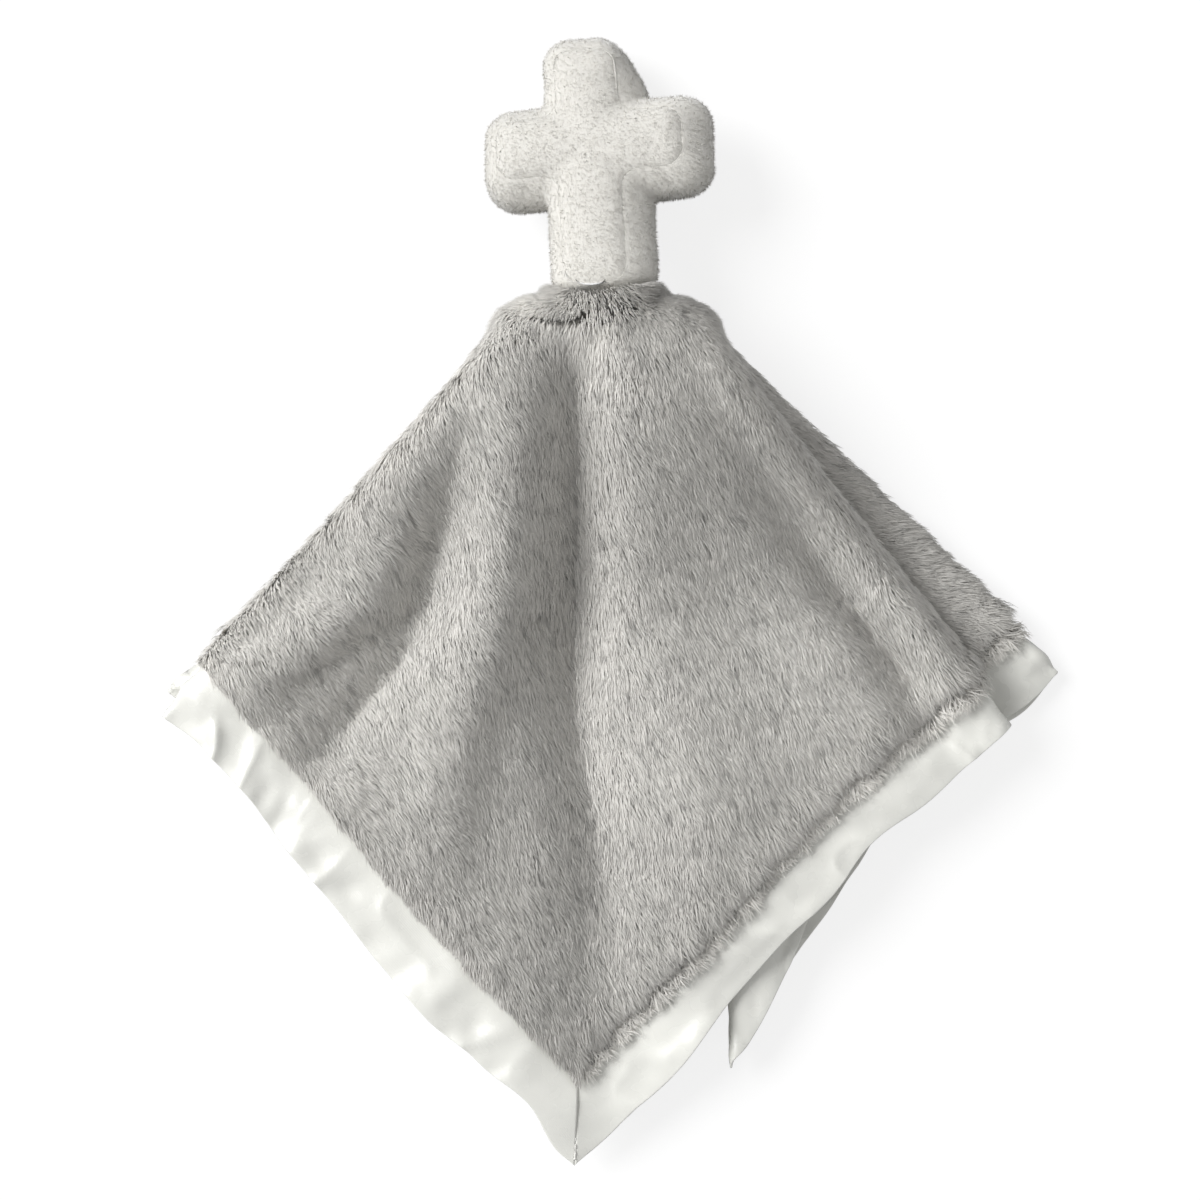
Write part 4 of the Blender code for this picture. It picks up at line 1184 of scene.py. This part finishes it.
@dataclass
class PlushBlanket:
    """The blanket without its border: plush ground, pile, lining and the patch under the cross."""

    square: FoldedSquare
    ground_outer: float = 1.9 * MM
    lining_inner: float = -1.2 * MM
    patch_radius: float = 8.0 * MM
    patch_cut: float = 10.0 * MM
    patch_outer: float = -1.5 * MM
    patch_inner: float = -2.3 * MM
    patch_rows: int = 9
    patch_columns: int = 48

    def build(self) -> None:
        """Make and dress every piece of the blanket."""
        ground = self.square.sheet("plush_ground", self.ground_outer, self.square.plush_inner, 64, 240,
                                   20)
        dress(ground, GREY_GROUND.build(), "blanket", ("blanket_face",))
        lining = self.square.sheet("lining", -self.square.plush_inner, self.lining_inner, 44, 180, 14)
        dress(lining, IVORY_LINING.build(), "blanket", ("blanket_lining",))
        pile = PlushPile(self.square)
        material = GREY_PILE.build()
        pieces = [pile.grow(zone, material, 40 + index) for index, zone in enumerate(pile.zones)]
        self.patch()

    def patch(self) -> None:
        """The round cotton patch on the lining's side of the neck."""
        flat = np.linspace(0.0, TURN, self.patch_columns, endpoint=False)
        gone = np.linspace(0.0, self.patch_radius, self.patch_rows)[:, None]
        gone = np.broadcast_to(gone, (self.patch_rows, self.patch_columns))
        piece = self.square.shell("patch", flat, gone, self.patch_outer, self.patch_inner)
        dress(piece, WHITE_PATCH.build(), "blanket", ("neck_patch",))


@dataclass
class SatinBorder:
    """The satin ribbon along the sides, puffed, rippled and mitred, with its stitching."""

    square: FoldedSquare
    half_thickness: float = 0.35 * MM
    puff: float = 0.55 * MM
    ripple: float = 2.2 * MM
    edge_wave: float = 3.0 * MM
    columns: int = 420
    rows: int = 18
    thread_radius: float = 0.42 * MM
    stitch: float = 2.6 * MM
    stitch_width: float = 1.7 * MM
    stitch_height: float = 1.5 * MM
    stitch_arch: float = 0.35 * MM
    stitched_share: float = 0.975
    broad: float = 17.0 * MM
    folds: float = 12.0 * MM
    fine: float = 5.0 * MM
    fine_share: float = 0.3
    calm_right_front: float = 0.6
    slant_patch: float = 40.0 * MM
    edge_patch: float = 20.0 * MM
    mitre_run: float = 16.0 * MM
    hem_points: int = 7
    least_height: float = 0.1 * MM
    low: float = 6.0 * MM
    mitre_span: tuple[float, float] = (0.04, 0.93)
    mitre_points: int = 90
    mitre_radius: float = 0.28 * MM
    mitre_height: float = 0.25 * MM
    mitre_stitch: float = 2.2 * MM
    mitre_dip: float = 0.12 * MM
    mitre_lowest: float = 0.4 * MM

    def ripples(self, side: Side, along: np.ndarray, share: np.ndarray) -> tuple[np.ndarray, np.ndarray]:
        """How the ribbon waves up and down, and in and out at its edge.

        A broad random wave, a narrower one folded into creases by 1/2 - |n|^0.8 and a fine one are
        summed. They fade towards the stitched edge and vanish at the mitres.

        Args:
            side: Which side, for its own phases.
            along: Places along the side, in metres.
            share: 0 at the plush's edge and 1 at the outer edge.

        Returns:
            The lift along the normal and the shift outwards.
        """
        seed = 20 + int(side.value) % 17
        calm = self.calm_right_front if side is Side.RIGHT_FRONT else 1.0
        slant = along + 0.5 * self.square.border * share * patchy(along, share * 0.0, self.slant_patch, seed)
        broad = patchy(slant, share * 14.0 * MM, self.broad, seed + 1)
        folds = patchy(slant, share * 12.0 * MM, self.folds, seed + 2)
        crease = broad + 1.1 * (0.5 - np.abs(folds) ** 0.8)
        crease += self.fine_share * patchy(slant, share * 16.0 * MM, self.fine, seed + 3)
        to_mitre = smooth_step((0.5 * self.square.side - np.abs(along)) / self.mitre_run)
        strength = (0.12 + 0.88 * np.clip(share * 1.4, 0.0, 1.0)) * smooth_step(share * 6.0) * to_mitre
        shift = patchy(along, share * 0.0 + 0.3, self.edge_patch, seed + 4)
        shift = shift * np.clip(share, 0.0, 1.0) * to_mitre
        return self.ripple * calm * strength * crease, self.edge_wave * shift

    def places(self, side: Side, along: np.ndarray, beyond: np.ndarray) -> tuple[np.ndarray, np.ndarray]:
        """Flat angle and distance of places beside a side.

        Args:
            side: Which side.
            along: Shares of the half side along it, from -1 to 1.
            beyond: Distances beyond the plush's edge.

        Returns:
            Flat angles and distances from the middle.
        """
        out = 0.5 * self.square.side - self.square.border + beyond
        return side.middle + np.arctan(along), out * np.hypot(1.0, along)

    def strip(self, side: Side, material: bpy.types.Material) -> bpy.types.Object:
        """One ribbon: its upper face, its rounded hem and its under face as one closed tube.

        Args:
            side: Which side.
            material: The satin.

        Returns:
            The strip.
        """
        out = np.linspace(-self.square.tuck, self.square.border - self.half_thickness, self.rows)
        share = np.clip(out / self.square.border, 0.0, 1.0)
        thick = self.half_thickness + self.puff * np.sin(math.pi * np.clip(share * 1.02, 0.0, 1.0)) ** 0.6
        hem = np.linspace(0.0, math.pi, self.hem_points)[1:-1]
        beyond = np.concatenate((out, out[-1] + thick[-1] * np.sin(hem), out[::-1]))
        offset = np.concatenate((thick, thick[-1] * np.cos(hem), -thick[::-1]))
        along = np.linspace(-1.0, 1.0, self.columns)
        beyond, offset, along = np.broadcast_arrays(beyond[:, None], offset[:, None], along[None])
        reach = along * (0.5 * self.square.side - self.square.border + beyond)
        lift, shift = self.ripples(side, reach, beyond / self.square.border)
        flat, gone = self.places(side, along, beyond + shift)
        point, _, _, normal = self.square.tangents(flat, gone)
        off_table = np.where(normal[..., 2] > 0.0, np.abs(lift), -0.5 * np.abs(lift))
        lift = np.where(point[..., 2] < self.low, off_table, lift)
        points = point + normal * (lift + offset)[..., None]
        points[..., 2] = np.maximum(points[..., 2], self.least_height)
        rows, columns = beyond.shape
        quads = grid_quads(rows, columns, False)
        here = np.arange(columns - 1)
        last = (rows - 1) * columns
        closing = np.stack((last + here, here, here + 1, last + here + 1), axis=-1)
        pair = np.arange(rows // 2 - 1)
        top, low_row = pair * columns, (rows - 1 - pair) * columns
        first_cap = np.stack((top, low_row, low_row - columns, top + columns), axis=-1)
        last_cap = first_cap[:, ::-1] + columns - 1
        middle = (rows // 2 - 1) * columns
        tip = np.array([[middle, middle + 2 * columns, middle + columns]])
        quads = np.concatenate((quads, closing, first_cap, last_cap))
        triangles = np.concatenate((tip[:, ::-1], tip + columns - 1)) if rows % 2 else None
        places = np.stack((reach, beyond), axis=-1)
        piece = new_piece("satin_" + side.node, points, quads, triangles, places)
        dress(piece, material, "blanket", ("satin_border_" + side.node,))
        return piece

    def stitching(self, side: Side, material: bpy.types.Material) -> bpy.types.Object:
        """The zigzag that holds the strip: a thread whose place across goes |4x - 2| - 1.

        Args:
            side: Which side.
            material: The thread.

        Returns:
            The stitching.
        """
        half = 0.5 * self.square.side - self.square.border - self.square.tuck
        count = 4 * int(half / self.stitch)
        turned = np.arange(4 * count + 1) / 4.0
        along = np.linspace(-self.stitched_share, self.stitched_share, len(turned))
        zig = 4.0 * np.abs(np.mod(turned / 2.0, 1.0) - 0.5) - 1.0
        beyond = -self.square.tuck + 0.5 * self.stitch_width * zig
        flat, gone = self.places(side, along, beyond)
        point, _, _, normal = self.square.tangents(flat, gone)
        height = self.stitch_height + self.stitch_arch * np.sin(math.pi * np.mod(turned, 1.0))
        line = point + normal * height[:, None]
        line[:, 2] = np.maximum(line[:, 2], 2.0 * self.thread_radius)
        piece = tube_piece("zigzag_" + side.node, line, normal, self.thread_radius, 6)
        dress(piece, material, "blanket", ("border_stitching_" + side.node,))
        return piece

    def mitre(self, corner: Corner, material: bpy.types.Material) -> bpy.types.Object:
        """The seam that joins two strips at a corner, dipping between its stitches.

        Args:
            corner: Which corner.
            material: The thread.

        Returns:
            The seam's thread.
        """
        angle = math.radians(corner.value)
        edge = float(self.square.plush_edge(np.array(angle)))
        reach = self.square.border * math.sqrt(2.0)
        share = np.linspace(*self.mitre_span, self.mitre_points)
        flat, gone = np.full_like(share, angle), edge + share * reach
        point, _, _, normal = self.square.tangents(flat, gone)
        dip = self.mitre_dip * np.cos(share * reach * TURN / self.mitre_stitch)
        height = self.half_thickness + self.mitre_height + dip
        line = point + normal * height[:, None]
        line[:, 2] = np.maximum(line[:, 2], self.mitre_lowest)
        piece = tube_piece("mitre_" + corner.name.lower(), line, normal, self.mitre_radius, 6)
        dress(piece, material, "blanket", ("mitre_stitching_" + corner.name.lower(),))
        return piece

    def build(self) -> None:
        """Make and dress the strips, their zigzags and the mitre seams."""
        satin, grey, white = IVORY_SATIN.build(), GREY_THREAD.build(), NECK_THREAD.build()
        mitres = {corner: self.mitre(corner, white) for corner in Corner}
        for side, corner in zip(Side, Corner):
            strip, zigzag = self.strip(side, satin), self.stitching(side, grey)


# The cross


@dataclass
class StuffedCross:
    """The stuffed velour cross: front and back panel, a boxed gusset, two seams and its filling.

    It is worked out upright about the neck pivot, with its leg's end there, and then turned.
    """

    neck: tuple[float, float, float]
    arm_reach: float = 32.5 * MM
    top_reach: float = 35.5 * MM
    centre: float = 33.5 * MM
    half_width: float = 9.0 * MM
    bulge: float = 6.0 * MM
    half_depth: float = 9.5 * MM
    crown: float = 2.2 * MM
    inner_radius: float = 5.0 * MM
    inner_min: float = 1.2 * MM
    corner_share: float = 0.6
    leg_share: float = 0.87
    leg_taper: float = 22.0 * MM
    top_foot: float = 48.0 * MM
    top_run: float = 19.0 * MM
    top_shift: float = 1.2 * MM
    skew: float = 1.9 * MM
    pinch: float = 0.45 * MM
    tilt: float = math.radians(-18.0)
    yaw: float = math.radians(-8.0)
    lean: float = math.radians(2.0)
    panel_rows: int = 22
    gusset_rows: int = 30
    top: int = 1
    leg: int = 3
    end_start: float = 0.45
    end_level: float = 0.93
    end_power: float = 5.0
    right_drawn: float = 0.8
    left_drawn: float = 0.2
    round_power: float = 2.2
    pinch_run: float = 1.1 * MM
    dent: float = 0.32 * MM
    small_dent: float = 0.08 * MM
    velour: float = 0.8 * MM
    filling_depth: float = 1.3 * MM
    thread_radius: float = 0.26 * MM
    thread_sunk: float = 0.3 * MM
    thread_sunk_more: float = 1.2 * MM
    thread_sunk_run: float = 6.0 * MM
    fibres: int = 50000
    fibre: float = 0.6 * MM
    fibre_half_width: float = 0.09 * MM
    combed: tuple[float, float, float] = (0.15, -0.75, 0.1)

    def __post_init__(self) -> None:
        """Work out how the cross is turned as it lies."""
        def turn(axis: int, angle: float) -> np.ndarray:
            """Rotation about one axis."""
            first, second = [(1, 2), (2, 0), (0, 1)][axis]
            matrix = np.eye(3)
            matrix[first, first] = matrix[second, second] = math.cos(angle)
            matrix[first, second], matrix[second, first] = -math.sin(angle), math.sin(angle)
            return matrix
        self.turned = turn(2, self.lean) @ turn(0, self.tilt) @ turn(1, self.yaw)

    def placed(self, points: np.ndarray) -> np.ndarray:
        """The upright cross's points as they lie in the row frame."""
        return points @ self.turned.T + np.array(self.neck)

    def arm(self, quarter: int, widening: float,
            corner: float) -> tuple[np.ndarray, np.ndarray, float, np.ndarray]:
        """One of the four arms, of which the last is the leg.

        Args:
            quarter: Which arm, in quarter turns from the right one.
            widening: How far outside the panel's seam.
            corner: Radius of the arm's corners.

        Returns:
            Directions out and across, the length of the arm's straight sides and its spine's tip.
        """
        angle = quarter * TURN / 4.0
        out = np.array((math.cos(angle), math.sin(angle)))
        across = np.array((-out[1], out[0]))
        if quarter % 4 == self.leg:
            return out, across, self.centre, self.centre * out
        reach = (self.top_reach if quarter % 4 == self.top else self.arm_reach) - self.bulge
        return out, across, reach + widening - corner, (reach - self.half_width) * out

    def outline(self, widening: float) -> tuple[np.ndarray, np.ndarray, np.ndarray]:
        """The cross's outline at a widening past the panel seam, with the spine behind each point.

        An arm's end is a straight edge between two quarter circles, and a quarter circle in the
        hollow joins it to the next arm. The leg's end is half * sin(t) across, and goes by
        cos(t)^0.45 into its half round.

        Args:
            widening: How far outside the panel's seam.

        Returns:
            Outline points, spine points and, for the leg's end, how far into its half round.
        """
        half = self.half_width + widening
        corner = self.corner_share * half
        inner = self.inner_radius - (self.inner_radius - self.inner_min) * widening / self.bulge
        arcs = np.linspace(0.0, TURN / 4.0, 14)[:, None]
        sweep = np.linspace(-TURN / 4.0, TURN / 4.0, 41)[:, None]
        across_end, run = (np.linspace(0.0, 1.0, count)[1:-1, None] for count in (10, 12))
        outline, spines, ends = [], [], []
        for quarter in range(4):
            out, across, straight, tip = self.arm(quarter, widening, corner)
            next_out, next_across, next_straight, next_tip = self.arm(quarter + 1, widening, corner)
            if quarter == self.leg:
                points = tip + half * np.sin(sweep) * across
                end = np.maximum(np.cos(sweep)[:, 0], 0.0) ** self.end_start
            else:
                first, second = (straight * out + turn * (half - corner) * across for turn in (-1.0, 1.0))
                points = np.concatenate((
                    first + corner * (np.sin(arcs) * out - np.cos(arcs) * across),
                    first + corner * out + across_end * (second - first),
                    second + corner * (np.cos(arcs) * out + np.sin(arcs) * across)))
                end = np.zeros(len(points))
            hollow = (half + inner) * (out + across)
            fillet = hollow - inner * (np.sin(arcs) * out + np.cos(arcs) * across)
            target = next_straight * next_out - half * next_across
            outline += [points, points[-1] + run * (fillet[0] - points[-1]), fillet,
                        fillet[-1] + run * (target - fillet[-1])]
            spines += [np.broadcast_to(tip, points.shape), tip * (1.0 - run), np.zeros_like(fillet),
                       run * next_tip]
            ends += [end, np.zeros(2 * len(run) + len(fillet))]
        lift = np.array((0.0, self.centre))
        return np.concatenate(outline) + lift, np.concatenate(spines) + lift, np.concatenate(ends)

    def profile(self) -> list[tuple[float, float, float]]:
        """Rows from the front middle line to the back one: share to the seam, widening, height.

        A panel falls from its crown by share^2.2 and is pinched at the seam. The gusset is a
        rounded band: widening * (1 - |h|^2.2)^0.8 at a share h of the depth.

        Returns:
            The rows.
        """
        shares = 1.0 - (1.0 - np.linspace(0.0, 1.0, self.panel_rows)) ** 1.6
        pinch = self.pinch * np.exp(-((1.0 - shares) * self.half_width / self.pinch_run) ** 1.2)
        front = [(share, 0.0, self.half_depth + self.crown * (1.0 - share ** self.round_power) - dent)
                 for share, dent in zip(shares, pinch)]
        turned = np.sin(np.linspace(TURN / 4.0, -TURN / 4.0, self.gusset_rows + 2)[1:-1])
        gusset = [(1.0, self.bulge * (1.0 - abs(drop) ** self.round_power) ** 0.8,
                   (self.half_depth - self.pinch) * drop) for drop in turned]
        back = [(share, widening, -height) for share, widening, height in reversed(front)]
        return front + gusset + back

    def surface(self) -> np.ndarray:
        """The whole outer surface as rows of points, upright, with soft dents in the filling.

        The leg grows shallower towards its end, which is a dome: its reach goes by
        (1 - level^5)^(1/5) of the depth. The top is drawn in and shifted by a smooth step, more on
        its right, and the front is shifted left of the back.

        Returns:
            Rows of points from the front's middle line to the back's.
        """
        rows = []
        for share, widening, height in self.profile():
            outline, spine, end = self.outline(widening)
            flat = spine + share * (outline - spine)
            taper = self.leg_share + (1.0 - self.leg_share) * smooth_step(flat[:, 1] / self.leg_taper)
            neck_radius = (self.half_depth + self.crown) * self.leg_share
            level = min(abs(height) * self.leg_share / neck_radius, self.end_level)
            end_reach = neck_radius * (1.0 - level ** self.end_power) ** (1.0 / self.end_power)
            down = flat[:, 1] - end * end_reach * share ** 0.6
            narrowing = rise(flat[:, 1], self.top_foot, self.top_run)
            side = np.clip(flat[:, 0] / self.half_width, -1.0, 1.0)
            drawn_in = widening * side * np.where(side > 0.0, self.right_drawn, self.left_drawn)
            flat[:, 0] -= (drawn_in + self.top_shift) * narrowing
            rows.append(np.stack((flat[:, 0], down, height * taper), axis=-1))
        rows = np.array(rows)
        rows[..., 0] -= self.skew * smooth_step(rows[..., 2] / self.half_depth)
        x, y, z = np.moveaxis(rows, -1, 0)
        dent = self.dent * patchy(x + 0.3 * z, y - 0.5 * z, 11.0 * MM, 31)
        dent += self.small_dent * patchy(x - z, y + z, 5.5 * MM, 32)
        normal = self.outwards(rows)
        normal[:self.panel_rows - 1] = (0.0, 0.0, 1.0)
        normal[1 - self.panel_rows:] = (0.0, 0.0, -1.0)
        return rows + normal * dent[..., None]

    def piece(self, name: str, rows: np.ndarray, material: bpy.types.Material, node: str) -> None:
        """One closed, padded velour piece from its rows, backed a little way inside.

        Args:
            name: The piece's name.
            rows: Its rows of points, upright.
            material: Its finish.
            node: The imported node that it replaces.
        """
        count, columns = rows.shape[:2]
        inside = rows - self.outwards(rows) * self.velour
        quads = grid_quads(count, columns, True)
        here = np.arange(columns)
        beside = (here + 1) % columns
        total, last = count * columns, (count - 1) * columns
        first = np.stack((here, beside, total + beside, total + here), axis=-1)
        end = np.stack((last + here, last + here + total, last + beside + total, last + beside), axis=-1)
        quads = np.concatenate((quads, quads[:, ::-1] + total, first, end))
        piece = new_piece(name, self.placed(np.stack((rows, inside))), quads)
        merge(piece)
        dress(piece, material, "cross", (node,))

    def outwards(self, rows: np.ndarray) -> np.ndarray:
        """Normals of the rows, and straight out along the depth where a face has no size.

        Args:
            rows: Rows of points, upright.

        Returns:
            Unit vectors.
        """
        beside = np.roll(rows, -1, axis=1) - np.roll(rows, 1, axis=1)
        normal = np.cross(np.gradient(rows, axis=0), beside)
        size = np.linalg.norm(normal, axis=-1, keepdims=True)
        straight = np.sign(rows[..., 2:]) * np.array((0.0, 0.0, 1.0))
        return np.where(size > 1e-12, normal / np.maximum(size, 1e-15), straight)

    def build(self) -> None:
        """Make and dress the panels, gusset, seams, filling and velour fuzz."""
        rows = self.surface()
        velour, fuzz = WHITE_VELOUR.build(), WHITE_FUZZ.build()
        panel, back = self.panel_rows, len(rows) - self.panel_rows
        self.piece("cross_front", rows[:panel], velour, "cross_front_panel")
        self.piece("cross_band", rows[panel - 1:back + 1], velour, "cross_gusset")
        self.piece("cross_back", rows[back:], velour, "cross_back_panel")
        self.filling(rows)
        self.seam("seam_front", rows[panel - 1], "cross_front_seam")
        self.seam("seam_back", rows[back], "cross_back_seam")
        self.fuzz(rows, fuzz)

    def filling(self, rows: np.ndarray) -> None:
        """The fibre filling: the velour's own surface, moved a little way inwards.

        Args:
            rows: The cross's rows of points, upright.
        """
        count, columns = rows.shape[:2]
        inner = rows - self.outwards(rows) * self.filling_depth
        piece = new_piece("filling", self.placed(inner), grid_quads(count, columns, True))
        merge(piece)
        dress(piece, WHITE_FILL.build(), "cross", ("cross_stuffing",))

    def seam(self, name: str, line: np.ndarray, node: str) -> None:
        """The thread sunk in the crease between a panel and the gusset, deeper by the leg's end.

        Args:
            name: The thread's name.
            line: Points of the crease, upright.
            node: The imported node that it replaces.
        """
        up = np.zeros_like(line)
        up[:, 2] = 1.0
        deep = self.thread_sunk + self.thread_sunk_more * fall(line[:, 1:2], 0.0, self.thread_sunk_run)
        sunk = line - np.sign(line[:, 2:]) * deep * np.array((0.0, 0.0, 1.0))
        piece = tube_piece(name, self.placed(sunk), up @ self.turned.T, self.thread_radius, 6, closed=True)
        # The thread's dark colour is partly the stitches' own and partly painted shade of the crease.
        dress(piece, SEAM_THREAD_AND_SHADE.build(), "cross", (node,))

    def fuzz(self, rows: np.ndarray, material: bpy.types.Material) -> None:
        """Short velour fibres: small spikes, sown evenly, that lean down and off the surface.

        Args:
            rows: The cross's rows of points, upright.
            material: The fibres' finish.
        """
        rng = np.random.default_rng(77)
        count = self.fibres
        beside = np.roll(rows, -1, axis=1) - rows
        area = np.linalg.norm(np.cross(np.gradient(rows, axis=0), beside), axis=-1)[:-1].ravel()
        picked = rng.choice(len(area), count, p=area / area.sum())
        row, column = np.divmod(picked, rows.shape[1])
        share, side_share = rng.random((2, count, 1))
        root = rows[row, column] + share * (rows[row + 1, column] - rows[row, column])
        root = root + side_share * beside[row, column]
        facing = self.outwards(rows)[row, column]
        comb = np.array(self.combed) + 0.8 * rng.standard_normal((count, 3))
        lean = unit(facing * 0.6 + comb * 0.7)
        length = self.fibre * (1.0 + rng.random((count, 1)))
        side = unit(np.cross(lean, facing + 1e-6)) * self.fibre_half_width
        points = np.stack((root - side, root + side, root + lean * length), axis=1)
        triangles = np.arange(3 * count).reshape(-1, 3)
        cross = np.cross(points[:, 1] - points[:, 0], points[:, 2] - points[:, 0])
        flip = (cross * facing).sum(axis=-1) < 0.0
        triangles[flip] = triangles[flip][:, ::-1]
        tone = np.clip(0.5 + 0.2 * rng.standard_normal(count), 0.02, 0.98)[:, None]
        along = np.broadcast_to(np.array((0.3, 0.3, 1.0)), (count, 3))
        places = np.stack((tone + np.array((-0.01, 0.01, 0.0)), along), axis=-1)
        piece = new_piece("cross_fuzz", self.placed(points), np.zeros((0, 4), int), triangles, places,
                          BAKE_MAP)
        shown = np.repeat(facing[:, None], 3, axis=1).reshape(-1, 3) @ self.turned.T
        piece.data.normals_split_custom_set_from_vertices(unit(shown))
        dress(piece, material, "cross")


def merge(piece: bpy.types.Object) -> None:
    """Weld a piece's doubles, drop its empty faces and point its faces outwards.

    Args:
        piece: The piece that is cleaned.
    """
    work = bmesh.new()
    work.from_mesh(piece.data)
    bmesh.ops.remove_doubles(work, verts=work.verts, dist=0.00001)
    bmesh.ops.dissolve_degenerate(work, edges=work.edges, dist=0.000005)
    bmesh.ops.recalc_face_normals(work, faces=work.faces)
    work.to_mesh(piece.data)
    work.free()
    piece.data.shade_smooth()


@dataclass
class NeckSeam:
    """The rolled ring of cloth at the pivot, by which the cross is sewn on."""

    neck: tuple[float, float, float]
    below: float = 11.7 * MM
    reach: float = 5.0 * MM
    radius: float = 1.2 * MM

    def build(self) -> None:
        """A torus: a small circle carried along a larger one, which lies across Y below the pivot."""
        angle = np.linspace(0.0, TURN, 96, endpoint=False)
        centre = np.array(self.neck) - np.array((0.0, self.below, 0.0))
        out = np.stack((np.cos(angle), np.zeros_like(angle), np.sin(angle)), axis=-1)
        up = np.broadcast_to(np.array((0.0, 1.0, 0.0)), out.shape)
        ring = tube_piece("neck_roll", centre + self.reach * out, up, self.radius, 16, closed=True)
        dress(ring, NECK_THREAD.build(), "neck_seam", ("neck_stitching",))


@dataclass(frozen=True)
class Lamp:
    """A soft lamp, far off: how strong, how wide in degrees, and how it is turned about X and Y."""

    name: str
    energy: float
    width: float
    turn_x: float
    turn_y: float


@dataclass
class Studio:
    """Floor, lamps and the camera, which looks straight down as the photograph does."""

    centre: tuple[float, float] = (-0.00386, 0.0002)
    height: float = 1.30
    lens: float = 134.7
    nearest: float = 0.05
    half_floor: float = 4.0
    floor_level: float = 0.62
    floor_seen: float = 0.24
    floor_fill: float = 0.80
    surround: float = 0.34
    lamps: tuple[Lamp, ...] = (Lamp("studio_key", 3.15, 36.0, -18.0, -47.0),
                               Lamp("studio_fill", 0.2, 60.0, 30.0, 45.0))

    def build(self) -> None:
        """Set up everything round the object."""
        self.floor()
        self.light()
        camera = bpy.data.cameras.new("studio_camera")
        camera.lens = self.lens
        camera.clip_start = self.nearest
        holder = bpy.data.objects.new("studio_camera", camera)
        holder.location = (*self.centre, self.height)
        bpy.context.scene.collection.objects.link(holder)
        bpy.context.scene.camera = holder
        bpy.context.scene.view_settings.view_transform = "Standard"

    def floor(self) -> None:
        """A plain floor that the camera sees as white, and that keeps the object's soft shadow."""
        half = self.half_floor
        points = np.array(((-half, -half, 0.0), (half, -half, 0.0), (half, half, 0.0), (-half, half, 0.0)))
        floor = new_piece("floor", points, np.array([[0, 1, 2, 3]]))
        material = bpy.data.materials.new("studio_floor")
        material.use_nodes = True
        tree = material.node_tree
        shader = tree.nodes["Principled BSDF"]
        socket(shader, "Roughness", 1.0)
        socket(shader, "Specular IOR Level", 0.0)
        socket(shader, "Emission Color", (1.0, 1.0, 1.0, 1.0))
        seen = tree.nodes.new("ShaderNodeLightPath").outputs["Is Camera Ray"]
        shown = step(tree, "MapRange", {"Value": seen, "To Min": self.floor_level, "To Max": self.floor_seen})
        fill = step(tree, "Math", {0: seen, 1: self.floor_fill}, "MULTIPLY")
        tree.links.new(shown.outputs["Result"], shader.inputs["Base Color"])
        tree.links.new(fill.outputs[0], shader.inputs["Emission Strength"])
        floor.data.materials.append(material)

    def light(self) -> None:
        """An even pale surround, one broad lamp from the upper left and a weak one opposite."""
        world = bpy.data.worlds.new("studio_world")
        world.use_nodes = True
        background = world.node_tree.nodes["Background"]
        socket(background, "Color", (1.0, 1.0, 1.0, 1.0))
        socket(background, "Strength", self.surround)
        bpy.context.scene.world = world
        for given in self.lamps:
            lamp = bpy.data.lights.new(given.name, "SUN")
            lamp.energy = given.energy
            lamp.angle = math.radians(given.width)
            holder = bpy.data.objects.new(given.name, lamp)
            holder.rotation_euler = (math.radians(given.turn_x), math.radians(given.turn_y), 0.0)
            bpy.context.scene.collection.objects.link(holder)


def main() -> None:
    """Build every sub-assembly in order."""
    logging.basicConfig(level=logging.INFO, format="%(message)s")
    neck = tuple(frame["joints"][0]["pos_m"])
    Studio().build()
    square = FoldedSquare(neck)
    PlushBlanket(square).build()
    SatinBorder(square).build()
    StuffedCross(neck).build()
    NeckSeam(neck).build()


if __name__ == "__main__":
    main()
